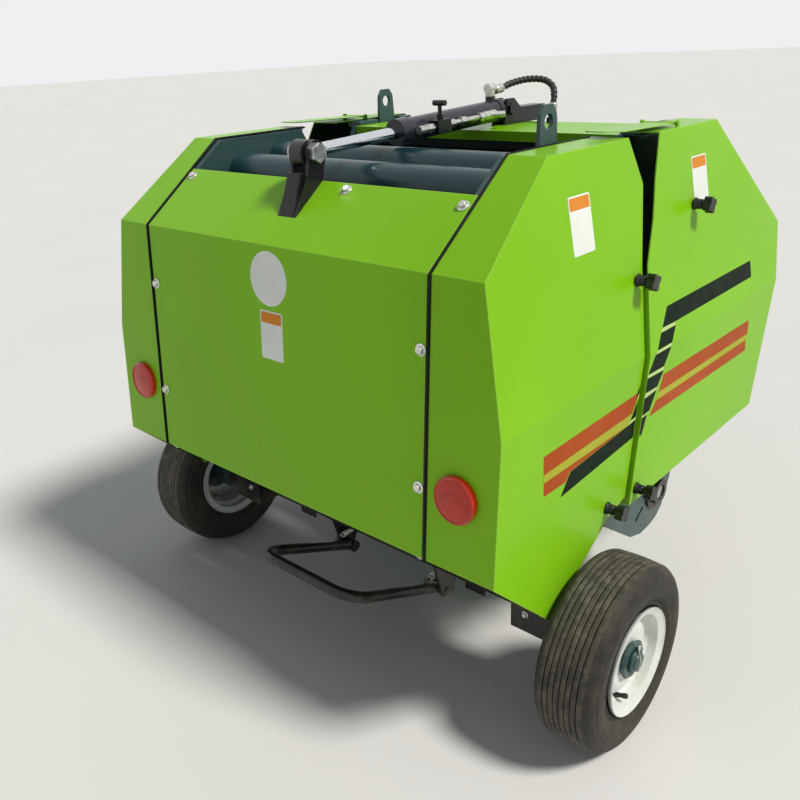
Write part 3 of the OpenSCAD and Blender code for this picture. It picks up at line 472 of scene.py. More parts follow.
# Mesh helpers
def add_piece(name, bm, body, slot, material=None):
    mesh = bpy.data.meshes.new(name)
    bm.to_mesh(mesh)
    bm.free()
    piece = bpy.data.objects.new(name, mesh)
    bpy.context.scene.collection.objects.link(piece)
    mesh.materials.append(material or MATERIALS[slot])
    if body:
        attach(piece, body)
    return piece


def smooth(bm, angle=35):
    """Smooth faces, with the edges above that angle kept sharp."""
    limit = math.radians(angle)
    for face in bm.faces:
        face.smooth = True
    for edge in bm.edges:
        if len(edge.link_faces) == 2 and edge.calc_face_angle(0) > limit:
            edge.smooth = False


def join_rings(bm, rings):
    """Faces between rings of as many vertices, with a lid on each end."""
    sides = len(rings[0])
    for low, high in zip(rings, rings[1:]):
        for k in range(sides):
            n = (k + 1) % sides
            bm.faces.new((low[k], low[n], high[n], high[k]))
    bm.faces.new(reversed(rings[0]))
    bm.faces.new(rings[-1])


def lathe(profile, steps, place):
    """Turns a closed line of (radius, height) round z and moves it by the matrix place."""
    bm = bmesh.new()
    rings = []
    for k in range(steps):
        a = 2 * math.pi * k / steps
        rings.append([bm.verts.new(place @ Vector((r * math.cos(a), r * math.sin(a), h)))
                      for r, h in profile])
    count = len(profile)
    for k in range(steps):
        here, there = rings[k], rings[(k + 1) % steps]
        for i in range(count):
            j = (i + 1) % count
            bm.faces.new((here[i], there[i], there[j], here[j]))
    return bm


def stack(profile, steps, place, bm=None):
    """A closed turned solid: (radius, height) points from its foot to its top, in metres."""
    bm = bm or bmesh.new()
    turns = [2 * math.pi * (k + 0.5) / steps for k in range(steps)]
    join_rings(bm, [[bm.verts.new(place @ Vector((r * math.cos(a), r * math.sin(a), h)))
                     for a in turns] for r, h in profile])
    return bm


def facing(at, normal, spin=0.0):
    """A matrix that stands z along normal at a point, in metres."""
    turn = Vector(normal).normalized().to_track_quat("Z", "Y").to_matrix().to_4x4()
    return Matrix.Translation(at) @ turn @ Matrix.Rotation(math.radians(spin), 4, "Z")


def tube(points, radius, sides, bm=None, ridge=None):
    """A round tube along points in metres. ridge(i, a) widens it at ring i and angle a."""
    bm = bm or bmesh.new()
    rings = []
    side = None
    for i, p in enumerate(points):
        ahead = (points[min(len(points) - 1, i + 1)] - points[max(0, i - 1)]).normalized()
        if side is None:
            side = ahead.orthogonal().normalized()
        side = (side - ahead * side.dot(ahead)).normalized()
        other = ahead.cross(side)
        ring = []
        for k in range(sides):
            a = 2 * math.pi * k / sides
            r = radius + (ridge(i, a) if ridge else 0)
            ring.append(bm.verts.new(p + r * (math.cos(a) * side + math.sin(a) * other)))
        rings.append(ring)
    join_rings(bm, rings)
    return bm


def spline(points, steps):
    """A smooth curve through the points, as many steps to each stretch."""
    line = []
    last = len(points) - 1
    for i in range(last):
        a, b, c, d = (points[max(0, i - 1)], points[i], points[i + 1], points[min(last, i + 2)])
        for k in range(steps):
            t = k / steps
            line.append(0.5 * (2 * b + (c - a) * t + (2 * a - 5 * b + 4 * c - d) * t * t
                               + (3 * b - a - 3 * c + d) * t ** 3))
    return line + [points[last]]


# Oil hose with its spiral guard, from the cylinder's port to the top panel
HOSE_ROUTE = [(0, 745, 1228), (0, 775, 1231), (8, 812, 1240), (30, 846, 1246), (62, 866, 1243),
              (86, 868, 1228), (97, 858, 1207), (100, 849, 1185), (100, 846, 1158.9)]
HOSE_R = 7.2
HOSE_STEPS = 26
HOSE_SIDES = 20
# the guard's height, its pitch and its bare ends, the last two in metres
GUARD_RISE = 1.3
GUARD_PITCH = 0.011
GUARD_FROM = 0.045
# the share of a turn that is ridge grows with this number
GUARD_LIFT = 0.35
FERRULE = [(8.5, 0), (10.6, 1), (10.6, 7), (9.6, 9), (10.6, 11), (10.6, 17), (9.6, 19),
           (10.6, 21), (10.6, 30), (9.0, 33)]
FERRULE_SIDES = 24


def make_hose():
    line = spline([mm(*p) for p in HOSE_ROUTE], HOSE_STEPS)
    run = [0.0]
    for a, b in zip(line, line[1:]):
        run.append(run[-1] + (b - a).length)

    def guard(i, a):
        turn = (run[i] / GUARD_PITCH - a / (2 * math.pi)) % 1
        if min(run[i], run[-1] - run[i]) <= GUARD_FROM:
            return 0
        wave = max(0, math.cos(2 * math.pi * turn) + GUARD_LIFT)
        return GUARD_RISE / 1000 * wave / (1 + GUARD_LIFT)

    bm = tube(line, HOSE_R / 1000, HOSE_SIDES, ridge=guard)
    smooth(bm, 50)
    hose = add_piece("hose", bm, None, "hose_rubber")
    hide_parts("hydraulic_hose")
    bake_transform(hose)
    # each ferrule points along the hose, at a place on its line some steps away
    for name, at, toward, body in (
            ("hose_ferrule_port", line[0], line[20], "cylinder_barrel"),
            ("hose_ferrule_panel", line[-1], line[-16], "chassis")):
        bm = stack(metres(FERRULE), FERRULE_SIDES, facing(at, toward - at))
        smooth(bm)
        add_piece(name, bm, body, "zinc")


make_hose()


# Ribbed tyres, as (radius, sideways place), from the inner bead over the tread to the outer one
GROOVES = (-36, -24, -12, 0, 12, 24, 36)
GROOVE_W = 2.0
GROOVE_D = 5
TREAD_EDGE = 54
TREAD_STEP = 2
TYRE_STEPS = 160


def crown(s):
    """Radius of the tread at a sideways place s: nearly flat, and round towards its shoulders."""
    return TYRE_R - 0.0011 * s * s - max(0, abs(s) - 44) ** 2 * 0.05


def groove(g):
    """Section of one groove at the sideways place g: two small chamfers and a flat bottom."""
    half = GROOVE_W / 2
    wall = [(crown(g) - 0.5, half + 0.8), (crown(g) - 1.2, half), (crown(g) - GROOVE_D, half - 0.5)]
    return [(r, g + s) for r, s in wall] + [(r, g - s) for r, s in reversed(wall)]


def tyre_profile():
    wall = TYRE_W / 2
    side = [(101, 49), (RIM_R + 2, 52.5), (RIM_R + 5, 56), (RIM_R + 10, 56.5), (RIM_R + 12, 55),
            (RIM_R + 14, 57), (RIM_R + 18, wall - 7.5), (RIM_R + 21, wall - 4.5),
            (RIM_R + 26, wall - 2.5), (RIM_R + 28, wall - 3), (RIM_R + 30, wall - 2),
            (TYRE_R - 48, wall - 0.4), (TYRE_R - 41, wall), (TYRE_R - 34, wall - 0.4),
            (TYRE_R - 30, wall - 1), (TYRE_R - 28.5, wall - 2.4), (TYRE_R - 27, wall - 2),
            (TYRE_R - 20, wall - 4), (TYRE_R - 14.5, wall - 6.6), (TYRE_R - 10, wall - 10)]
    tread = [(crown(s), s) for s in range(TREAD_EDGE, -TREAD_EDGE - 1, -TREAD_STEP)]
    for g in GROOVES:
        tread = [p for p in tread if abs(p[1] - g) > GROOVE_W / 2 + 1] + groove(g)
    tread.sort(key=lambda p: -p[1])
    return metres(side + tread + [(r, -s) for r, s in reversed(side)])


def on_wheel(side, turn=0.0):
    """Wheel frame: z out of the wheel's outer face, x down at turn 0 and forward at turn 90."""
    a = math.radians(turn)
    x, z = Vector((0, math.sin(a), -math.cos(a))), Vector((side, 0, 0))
    turned = Matrix((x, z.cross(x), z)).transposed().to_4x4()
    return Matrix.Translation(mm(side * WHEEL_X, AXLE_Y, TYRE_R)) @ turned


# Valve stem in the well of the rim: where it stands on the wheel and how it leans
VALVE_TURN = -20
VALVE_AT = (0.088, 0, 0.020)
VALVE_LEAN = -18
VALVE = [(8.5, 0), (8.5, 4), (6, 8), (4.8, 22), (4.2, 28), (5.5, 28.5), (5.5, 37), (4.5, 38.5)]
# Castle nut on the spindle's end, from the hub's face, and the split pin laid through it
CASTLE_NUT = [(25.5, 0), (27, 1.5), (27, 6.5), (25, 8), (20.5, 8), (20.5, 11.8), (19.5, 12.4)]
SPLIT_PIN = [(-30, 1.5, 60), (-22, 1.5, 61.5), (-8, 1, 64.9), (8, 1, 64.9), (20, 2, 63),
             (27, 4, 61.5), (29, 8, 60.5)]
SPLIT_PIN_R = 1.6
SPLIT_EYE_R = 4


def make_wheel(side, word):
    body = "wheel_" + word
    bm = lathe(tyre_profile(), TYRE_STEPS, on_wheel(side))
    bmesh.ops.recalc_face_normals(bm, faces=bm.faces)
    smooth(bm, 40)
    tyre = add_piece("ribbed_tyre_" + word, bm, body, "tyre_rubber")
    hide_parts("tyre_" + word)
    stem = (on_wheel(side, VALVE_TURN) @ Matrix.Translation(VALVE_AT)
            @ Matrix.Rotation(math.radians(VALVE_LEAN), 4, "Y"))
    bm = stack(metres(VALVE), 20, stem)
    smooth(bm)
    add_piece("valve_stem_" + word, bm, body, "knob_plastic")
    bm = stack(metres([(r, HUB_FACE + h) for r, h in CASTLE_NUT]), 6, on_wheel(side))
    smooth(bm, 20)
    add_piece("axle_nut_" + word, bm, body, "structure_paint")
    x, y, z = SPLIT_PIN[0]
    eye = []
    for degrees in range(300, -1, -30):
        a = math.radians(degrees)
        eye.append(Vector((x - SPLIT_EYE_R * math.sin(a),
                           y + SPLIT_EYE_R - SPLIT_EYE_R * math.cos(a), z)) / 1000)
    legs = spline([Vector(p) / 1000 for p in SPLIT_PIN], 5)
    bm = tube([on_wheel(side) @ p for p in eye + legs], SPLIT_PIN_R / 1000, 8)
    smooth(bm, 60)
    add_piece("split_pin_" + word, bm, body, "zinc")


for wheel_side, wheel_word in SIDES:
    make_wheel(wheel_side, wheel_word)


# Drive shaft stub as (radius, distance from its axis' start, splined): journal, neck and six
# splines with a locking groove
SHAFT = [(20, 30.3, False), (20, 84, False), (14, 84, False), (14, 90, False), (17.4, 90, True),
         (17.4, 142, True), (14.7, 143.5, False), (14.7, 150.5, False), (17.4, 152, True),
         (17.4, 163, True), (15.4, 166, True)]
SHAFT_SIDES = 96
SPLINES = 6
SPLINE_ROOT = 14.7
SPLINE_SHARE = 0.5


def make_shaft():
    bm = bmesh.new()
    place = Matrix.Translation(mm(0, PTO_Y, PTO_Z)) @ Matrix.Rotation(-math.pi / 2, 4, "X")
    rings = []
    for r, h, splined in SHAFT:
        ring = []
        for k in range(SHAFT_SIDES):
            key = (k / SHAFT_SIDES * SPLINES) % 1 < SPLINE_SHARE
            radius = min(r, SPLINE_ROOT) if splined and not key else r
            a = 2 * math.pi * k / SHAFT_SIDES
            at = Vector((radius * math.cos(a), radius * math.sin(a), h)) / 1000
            ring.append(bm.verts.new(place @ at))
        rings.append(ring)
    join_rings(bm, rings)
    smooth(bm, 30)
    shaft = add_piece("splined_shaft", bm, "pto_shaft", "zinc")
    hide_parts("pto_shaft")


make_shaft()


# Coils that carry the tines on their bars, one beside each tine
TINE_BARS = 4
TINE_GAPS = 10
TINE_STEP = 84
TINE_OFF = 11
COIL_R = 14.5
COIL_WIRE_R = 3
COIL_TURNS = 2
COIL_STEPS = 12
COIL_GAP = 0.4


def make_tine_coils():
    bm = bmesh.new()
    pitch = 2 * COIL_WIRE_R + COIL_GAP
    for bar in range(TINE_BARS):
        turn = Matrix.Rotation(bar * math.pi / 2, 4, "X")
        reel = Matrix.Translation(mm(0, REEL_Y, REEL_Z)) @ turn
        for gap in range(TINE_GAPS):
            middle = (gap - (TINE_GAPS - 1) / 2) * TINE_STEP
            for side in (-1, 1):
                line = []
                for i in range(COIL_TURNS * COIL_STEPS + 1):
                    a = 2 * math.pi * i / COIL_STEPS
                    line.append(reel @ (Vector((
                        middle + side * (TINE_OFF + i / COIL_STEPS * pitch),
                        TINE_BAR_R + COIL_R * math.cos(a), COIL_R * math.sin(a))) / 1000))
                tube(line, COIL_WIRE_R / 1000, 7, bm)
    smooth(bm, 60)
    add_piece("tine_coils", bm, "pickup_reel", "zinc")


make_tine_coils()


# Bolts. Profiles in shares of the bolt's size, which is half its width across the corners.
WASHER = [(1.45, 0), (1.45, 0.16), (1.36, 0.24)]
HEX_HEAD = [(0.96, 0.2), (1, 0.26), (1, 0.82), (0.88, 0.95), (0.6, 0.95)]
STUD_END = [(0.5, 0.5), (0.5, 1.35), (0.42, 1.45)]
# each bolt of a piece is turned by as many degrees more than the one before
BOLT_TURN = 23
GATE_TURN = 7
FRAME_TURN = 11


def bolt(bm, at, normal, size, spin, nut=False):
    """Hex head with a chamfer and a pressed washer, or a nut with the end of its stud."""
    place = facing(at, normal, spin)
    r = size / 1000
    for profile, steps in ((WASHER, 24), (HEX_HEAD, 6)) + (((STUD_END, 16),) if nut else ()):
        stack([(r * wide, r * high) for wide, high in profile], steps, place, bm)


def bolt_piece(name, body, spots, turn):
    """All bolts of one piece, as (place in metres, normal, size, nut)."""
    bm = bmesh.new()
    for at, normal, size, nut in spots:
        bolt(bm, at, normal, size, turn, nut)
        turn += BOLT_TURN
    smooth(bm, 25)
    add_piece(name, bm, body, "zinc")


REAR_NORMAL = Vector((0, -(CREASE_Z - REAR_Z), REAR_OUT)).normalized()
SLOPE_NORMAL = Vector((0, -(TOP_Z - CREASE_Z), SLOPE_L)).normalized()


def rear_face(x, z):
    return mm(x, -REAR_OUT * (CREASE_Z - z) / (CREASE_Z - REAR_Z), z)


def slope_face(x, y):
    return mm(x, y, CREASE_Z + y * (TOP_Z - CREASE_Z) / SLOPE_L)


# (x, z) on the rear face, (x, y) under its lower edge and (x, y) on the slope
REAR_BOLTS = ((-392, 868), (-392, 616), (392, 868), (392, 616))
FOOT_NUTS = ((-388, 13 - REAR_OUT), (388, 13 - REAR_OUT))
SLOPE_BOLTS = ((-383, 120), (106, 123), (388, 116))
GATE_BOLT = 8
FOOT_NUT = 8.5


def make_bolts():
    spots = [(rear_face(x, z), REAR_NORMAL, GATE_BOLT, False) for x, z in REAR_BOLTS]
    spots += [(mm(x, y, REAR_Z), (0, 0, -1), FOOT_NUT, True) for x, y in FOOT_NUTS]
    spots += [(slope_face(x, y), SLOPE_NORMAL, GATE_BOLT, False) for x, y in SLOPE_BOLTS]
    bolt_piece("gate_bolts", "tailgate", spots, GATE_TURN)


make_bolts()


# Gearbox: its front flange, its sides with their covers and its foot
GEARBOX_FACE = 67
GEARBOX_SIDE = 72
FLANGE_BOLTS_R = 42
COVER_BOLTS_R = 56
GEARBOX_BOLT = 4.5
FOOT_BOLTS_X = (-82, -30, 30, 82)
FOOT_BOLTS_Y = 15
GEARBOX_FOOT_Z = 422
FOOT_BOLT = 3.3
# Front panel from its upper crease to its foot, as (y, z), and the heights of its bolts
NOSE = (1193.5, 882)
NOSE_FOOT = (1147, 682)
NOSE_BOLTS_X = 368
NOSE_BOLTS_Z = (862, 704)
NOSE_BOLT = 7
# Drawbar beam, axle blocks and jack bracket
BEAM_BOLT_AT = (362, 1086, 336)
BEAM_BOLT = 8
BLOCK_BOLT_AT = (457, 216, 219)
BLOCK_BOLT = 6
DRAWBAR_X = 35
JACK_Y = 1600
JACK_BOLTS_Z = (328, 352)
JACK_BOLT = 7


def make_frame_bolts():
    spots = []
    for k in range(6):
        a = math.radians(60 * k + 30)
        spots.append(((FLANGE_BOLTS_R * math.cos(a), PTO_Y + GEARBOX_FACE,
                       PTO_Z + FLANGE_BOLTS_R * math.sin(a)), (0, 1, 0), GEARBOX_BOLT))
        for side in (-1, 1):
            at = (side * GEARBOX_SIDE, PTO_Y + COVER_BOLTS_R * math.cos(a),
                  PTO_Z + COVER_BOLTS_R * math.sin(a))
            spots.append((at, (side, 0, 0), GEARBOX_BOLT))
    for x in FOOT_BOLTS_X:
        spots.append(((x, PTO_Y + FOOT_BOLTS_Y, GEARBOX_FOOT_Z), (0, 0, 1), FOOT_BOLT))
    fall = (NOSE[0] - NOSE_FOOT[0]) / (NOSE[1] - NOSE_FOOT[1])
    for side in (-1, 1):
        for z in NOSE_BOLTS_Z:
            at = (side * NOSE_BOLTS_X, NOSE[0] - (NOSE[1] - z) * fall, z)
            spots.append((at, (0, 1, -fall), NOSE_BOLT))
        for (x, y, z), normal, size in ((BEAM_BOLT_AT, (0, 1, 0), BEAM_BOLT),
                                        (BLOCK_BOLT_AT, (0, -1, 0), BLOCK_BOLT)):
            spots.append(((side * x, y, z), normal, size))
    for z in JACK_BOLTS_Z:
        spots.append(((-DRAWBAR_X, JACK_Y, z), (-1, 0, 0), JACK_BOLT))
    bolt_piece("frame_bolts", "chassis",
               [(mm(*at), normal, size, False) for at, normal, size in spots], FRAME_TURN)


make_frame_bolts()


# Moulded collars under the hand knobs, as (y, z) of the knobs on each cover
KNOBS = [("rear", "tailgate", 0, ((469, 898), (347, 456))),
         ("front", "chassis", COVER_STEP, ((729, 1002), (454, 457)))]
COLLAR = [(13, 0), (13, 2), (11.5, 3.5), (10.5, 9), (10.5, 17), (9, 18)]
COLLAR_LIFT = 0.5
COLLAR_SIDES = 28


def make_collars():
    for name, body, grow, places in KNOBS:
        bm = bmesh.new()
        for side in (-1, 1):
            for y, z in places:
                # high enough for its whole rim to clear the leaning part of the sheet
                lift = COLLAR_LIFT + COLLAR[0][0] * (LEAN_RATE if z > LEAN_Z else 0)
                place = facing(mm(side * (skin_x(z, grow) + lift), y, z), (side, 0, 0))
                stack(metres(COLLAR), COLLAR_SIDES, place, bm)
        smooth(bm, 40)
        add_piece("knob_collars_" + name, bm, body, "knob_plastic")


make_collars()


# Rubber edge seals on the inner edges of the rear covers, beside the slope: (y, z) of their path
SEAL_X = 409
SEAL_R = 3.2
SEAL_DROP = 1
SEAL_STEPS = 12
SEAL_SIDES = 12
SEAL_PATH = [(-REAR_OUT, REAR_Z), (0, CREASE_Z), (SLOPE_L, TOP_Z), (486, TOP_Z)]


def make_seals():
    bm = bmesh.new()
    points = []
    for (y0, z0), (y1, z1) in zip(SEAL_PATH, SEAL_PATH[1:]):
        for k in range(SEAL_STEPS):
            points.append((y0 + (y1 - y0) * k / SEAL_STEPS, z0 + (z1 - z0) * k / SEAL_STEPS))
    points.append(SEAL_PATH[-1])
    for side in (-1, 1):
        tube([mm(side * SEAL_X, y, z - SEAL_DROP) for y, z in points], SEAL_R / 1000,
             SEAL_SIDES, bm)
    smooth(bm, 60)
    add_piece("edge_seals", bm, "tailgate", "hose_rubber", MATERIALS["seal_rubber"])


make_seals()


# Films stuck on the leaning sides, as (y, z) outlines. FILM_RISE is the height of their faces,
# and FILM_THICK is in metres.
BLACK_FILM = print_film("stripe_black", tone(15, 30, 17), 0.42, 0.05, 0.012)
RED_FILM = print_film("stripe_red", tone(166, 72, 20), 0.42, 0.08, 0.03)
PALE_FILM = print_film("stripe_pale", tone(186, 208, 138), 0.42, 0.08, 0.03)
YELLOW_FILM = print_film("stripe_yellow", tone(166, 168, 50), 0.42, 0.08, 0.03)
WHITE_FILM = print_film("label_white", tone(226, 232, 224))
AMBER_FILM = print_film("label_amber", tone(214, 132, 34))
FILM_RISE = 0.35
FILM_THICK = 0.0003
# edges of the covers along the seam, from the foot to the hinge: (y, z)
REAR_EDGE = ((422, 446), (494, 917))
FRONT_EDGE = ((429, 426), (504, 917))

STRIPES = [
    ("upper_bar", BLACK_FILM, [(566, 824), (1012, 824), (1012, 785), (594, 785), (538, 787)]),
    ("band_1", BLACK_FILM, [(531, 778), (597, 777), (574, 747), (509, 748)]),
    ("band_2", BLACK_FILM, [(500, 741), (571, 739), (543, 704), (473, 707)]),
    ("band_3", BLACK_FILM, [(468, 699), (543, 695), (518, 667), (446, 670)]),
    ("band_4", BLACK_FILM, [(454, 657), (516, 660), (490, 623), (426, 621)]),
    ("lower_bar", BLACK_FILM, [(417, 613), (480, 618), (462, 579), (165, 564), (197, 603)]),
    ("red_rear_upper", RED_FILM, [(105, 671), (457, 673), (431, 635), (106, 635)]),
    ("red_rear_lower", RED_FILM, [(107, 618), (412, 613.5), (195, 604), (181, 589), (108, 591)]),
    ("red_front_upper", RED_FILM, [(545, 685), (1012, 677), (1012, 642), (528, 651)]),
    ("red_front_lower", RED_FILM, [(517, 635), (1005, 627), (1011, 599), (492, 609)]),
    ("pale_1", PALE_FILM, [(538, 786), (594, 784), (597, 778), (531, 779)]),
    ("pale_2", PALE_FILM, [(509, 747), (574, 746), (571, 740), (502, 742)]),
    ("pale_3", PALE_FILM, [(473, 706), (543, 703), (543, 696), (468, 700)]),
    ("pale_4", PALE_FILM, [(446, 669), (518, 666), (516, 661), (454, 658)]),
    ("pale_5", PALE_FILM, [(426, 620), (490, 622), (480, 619), (417, 614)]),
    ("yellow_rear", YELLOW_FILM, [(106, 634), (430, 634), (413, 615), (106, 619)]),
    ("yellow_front", YELLOW_FILM, [(528, 650), (1012, 641), (1005, 628), (517, 636)]),
]
# each cover with the edge of its seam, and whether the film stays on the rear side of it
COVERS = [("rear", 0, "tailgate", REAR_EDGE, True),
          ("front", COVER_STEP, "chassis", FRONT_EDGE, False)]


def cut(bm, at, normal, **cleared):
    bmesh.ops.bisect_plane(bm, geom=bm.verts[:] + bm.edges[:] + bm.faces[:], plane_co=at,
                           plane_no=normal, **cleared)


def side_film(name, outline, material, side, grow, body, seam, keep_rear):
    """A film that lies on the leaning side sheet, bent where the sheet is and cut at the seam."""
    bm = bmesh.new()
    bm.faces.new([bm.verts.new(Vector((0, y, z))) for y, z in outline])
    cut(bm, (0, 0, LEAN_Z), (0, 0, 1))
    low, high = (Vector((0, y, z)) for y, z in seam)
    along = high - low
    cut(bm, low, Vector((0, along.z, -along.y)), clear_outer=keep_rear, clear_inner=not keep_rear)
    if not bm.faces:
        bm.free()
        return
    for v in bm.verts:
        v.co = mm(side * (skin_x(v.co.z, grow) + FILM_RISE), v.co.y, v.co.z)
    bmesh.ops.recalc_face_normals(bm, faces=bm.faces)
    for face in bm.faces:
        if face.normal.x * side < 0:
            face.normal_flip()
    made = bmesh.ops.extrude_face_region(bm, geom=bm.faces[:])
    for v in [g for g in made["geom"] if isinstance(g, bmesh.types.BMVert)]:
        v.co.x -= side * FILM_THICK
    bmesh.ops.recalc_face_normals(bm, faces=bm.faces)
    add_piece(name, bm, body, "body_paint", material)


def make_stripes():
    for side, word in SIDES:
        for name, film, outline in STRIPES:
            for cover, grow, body, seam, keep_rear in COVERS:
                side_film(f"{name}_{word}_{cover}", outline, film, side, grow, body, seam,
                          keep_rear)


make_stripes()


def rounded(width, height, r, steps=5):
    """Outline of a rectangle with round corners, centred on 0, 0."""
    line = []
    for k, (sx, sy) in enumerate(((1, 1), (-1, 1), (-1, -1), (1, -1))):
        for i in range(steps + 1):
            a = math.pi / 2 * (k + i / steps)
            line.append((sx * (width / 2 - r) + r * math.cos(a),
                         sy * (height / 2 - r) + r * math.sin(a)))
    return line


def film_at(name, body, place, outline, material, rise, thick=0.25):
    """A thin film on the plane of the matrix place, z outwards."""
    bm = bmesh.new()
    top, low = ([bm.verts.new(place @ Vector((u, v, h / 1000))) for u, v in metres(outline)]
                for h in (rise, rise - thick))
    bm.faces.new(top)
    bm.faces.new(reversed(low))
    for i in range(len(top)):
        j = (i + 1) % len(top)
        bm.faces.new((top[i], low[i], low[j], top[j]))
    bmesh.ops.recalc_face_normals(bm, faces=bm.faces)
    add_piece(name, bm, body, "body_paint", material)


def plane_at(at, normal):
    """A matrix at a point in metres, z along normal and y as near as can be to upwards."""
    z = Vector(normal).normalized()
    x = Vector((0, 0, 1)).cross(z).normalized()
    y = z.cross(x)
    return Matrix.Translation(at) @ Matrix((x, y, z)).transposed().to_4x4()


# Blank labels with a coloured head, as (cover, step, body, y, z), and the blank disc
LABEL = (72, 103)
GATE_LABEL = (66, 99)
GATE_LABEL_AT = (6, 820)
LABEL_CORNER = 4
LABEL_RISE = 0.45
HEAD_H = 22
HEAD_MARGIN = 3
HEAD_CORNER = 2
HEAD_RISE = 0.62
HEAD_THICK = 0.12
SIDE_LABELS = [("rear", 0, "tailgate", 294, 1034), ("front", COVER_STEP, "chassis", 769, 1045)]
DISC_R = 54
DISC_AT = (2, 933)
DISC_SIDES = 64


def label(name, body, place, width, height):
    film_at(name + "_sheet", body, place, rounded(width, height, LABEL_CORNER), WHITE_FILM,
            LABEL_RISE)
    head = place @ Matrix.Translation((0, (height / 2 - HEAD_H / 2 - HEAD_MARGIN) / 1000, 0))
    film_at(name + "_head", body, head, rounded(width - 2 * HEAD_MARGIN, HEAD_H, HEAD_CORNER),
            AMBER_FILM, HEAD_RISE, HEAD_THICK)


def make_labels():
    for side, word in SIDES:
        normal = (side, 0, LEAN_RATE)
        for name, grow, body, y, z in SIDE_LABELS:
            at = mm(side * skin_x(z, grow), y, z)
            label(f"label_{name}_{word}", body, plane_at(at, normal), *LABEL)
    label("label_gate", "tailgate", plane_at(rear_face(*GATE_LABEL_AT), REAR_NORMAL), *GATE_LABEL)
    disc = []
    for k in range(DISC_SIDES):
        a = 2 * math.pi * k / DISC_SIDES
        disc.append((DISC_R * math.cos(a), DISC_R * math.sin(a)))
    film_at("gate_disc", "tailgate", plane_at(rear_face(*DISC_AT), REAR_NORMAL), disc, WHITE_FILM,
            LABEL_RISE)


make_labels()


# Springs of the bale ramp: wire coils with a hook at each end
SPRING_X = 152
SPRING_FROM = (262.7, 153)
SPRING_TILT = -88
SPRING_L = 68.1
SPRING_R = 8
SPRING_TURNS = 15
SPRING_STEPS = 16
WIRE_R = 1.6
WIRE_SIDES = 8
# the coils start and end this far within the hooks
HOOK_L = 6


def hook(r, end, way):
    """Half a loop at one end of a spring whose coils have the radius r. way is -1 or 1."""
    return [Vector(p) for p in (
        (r, 0, end - way * (WIRE_R + HOOK_L)), (0, 0, end - way * 7), (0, -r * 0.4, end - way * 4),
        (0, -r, end - way * 1), (0, -r * 0.5, end + way * 1.4), (0, r * 0.5, end + way * 1.4),
        (0, r, end - way * 1.5))]


def make_springs():
    bm = bmesh.new()
    r = SPRING_R - WIRE_R
    count = SPRING_TURNS * SPRING_STEPS
    for side in (-1, 1):
        place = (Matrix.Translation(mm(side * SPRING_X, *SPRING_FROM))
                 @ Matrix.Rotation(math.radians(SPRING_TILT), 4, "X"))
        line = []
        for i in range(count + 1):
            a = 2 * math.pi * i / SPRING_STEPS
            h = WIRE_R + HOOK_L + i * (SPRING_L - 2 * WIRE_R - 2 * HOOK_L) / count
            line.append(place @ (Vector((r * math.cos(a), r * math.sin(a), h)) / 1000))
        tube(line, WIRE_R / 1000, WIRE_SIDES, bm)
        for end, way in ((0, -1), (SPRING_L, 1)):
            tube([place @ (p / 1000) for p in spline(hook(r, end, way), 5)], WIRE_R / 1000,
                 WIRE_SIDES, bm)
    smooth(bm, 60)
    springs = add_piece("ramp_coils", bm, None, "zinc")
    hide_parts("ramp_springs")
    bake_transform(springs)


make_springs()


# Floor, world and lamps
FLOOR_TONE = (0.80, 0.79, 0.77, 1)
FLOOR_HALF = 60
FLOOR_DEPTH = 0.0006
SKY_TONE = (0.86, 0.87, 0.88, 1)
AMBIENT_TONE = (0.90, 0.95, 1.0, 1)
AMBIENT = 0.26
# name, direction towards the lamp, strength, angle in degrees, colour
LAMPS = [("key", (0.62, 0.14, 0.78), 3.0, 12, (1.0, 0.97, 0.92)),
         ("fill", (-0.5, -0.9, 0.6), 0.04, 50, (0.92, 0.96, 1.0))]


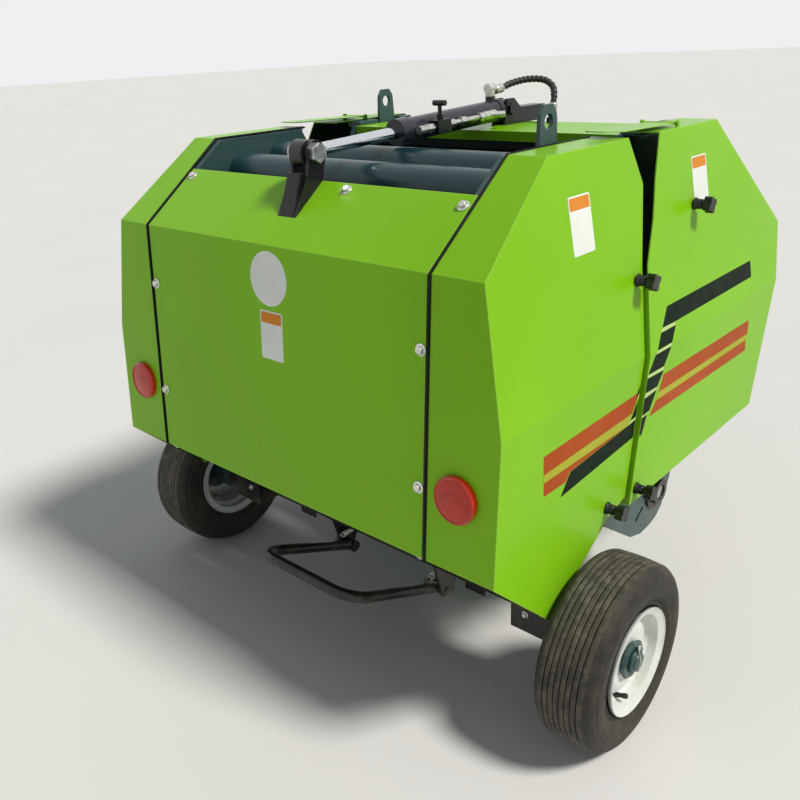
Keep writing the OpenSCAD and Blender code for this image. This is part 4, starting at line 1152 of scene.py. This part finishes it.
def make_floor():
    t = Tree("floor", 0.85, specular=0.2)
    base = t.mix(t.ramp(t.noise(0.8, 6.0), *MILD), FLOOR_TONE, shade(FLOOR_TONE, 0.97))
    t.finish(base, None, t.bump(t.noise(60.0, 4.0), FLOOR_DEPTH, 0.2))
    mesh = bpy.data.meshes.new("floor")
    r = FLOOR_HALF
    mesh.from_pydata([(-r, -r, 0), (r, -r, 0), (r, r, 0), (-r, r, 0)], [], [(0, 1, 2, 3)])
    mesh.materials.append(t.mat)
    floor = bpy.data.objects.new("floor", mesh)
    bpy.context.scene.collection.objects.link(floor)


def make_world(scene):
    """A dim sky for the light, and a bright one where it is seen or mirrored."""
    world = bpy.data.worlds.new("studio")
    scene.world = world
    world.use_nodes = True
    nodes, links = world.node_tree.nodes, world.node_tree.links
    ambient = nodes["Background"]
    ambient.inputs["Color"].default_value = AMBIENT_TONE
    ambient.inputs["Strength"].default_value = AMBIENT
    seen = nodes.new("ShaderNodeBackground")
    seen.inputs["Color"].default_value = SKY_TONE
    seen.inputs["Strength"].default_value = 1.0
    path = nodes.new("ShaderNodeLightPath")
    share = path.outputs["Is Camera Ray"]
    for ray in ("Is Glossy Ray", "Is Transmission Ray"):
        most = nodes.new("ShaderNodeMath")
        most.operation = "MAXIMUM"
        links.new(share, most.inputs[0])
        links.new(path.outputs[ray], most.inputs[1])
        share = most.outputs["Value"]
    mix = nodes.new("ShaderNodeMixShader")
    links.new(share, mix.inputs["Fac"])
    links.new(ambient.outputs["Background"], mix.inputs[1])
    links.new(seen.outputs["Background"], mix.inputs[2])
    links.new(mix.outputs["Shader"], nodes["World Output"].inputs["Surface"])


def make_light():
    scene = bpy.context.scene
    scene.view_settings.view_transform = "Standard"
    make_world(scene)
    for name, toward, strength, angle, colour in LAMPS:
        data = bpy.data.lights.new(name, "SUN")
        data.energy = strength
        data.angle = math.radians(angle)
        data.color = colour
        lamp = bpy.data.objects.new(name, data)
        scene.collection.objects.link(lamp)
        lamp.rotation_euler = Vector(toward).to_track_quat("Z", "Y").to_euler()


make_floor()
make_light()
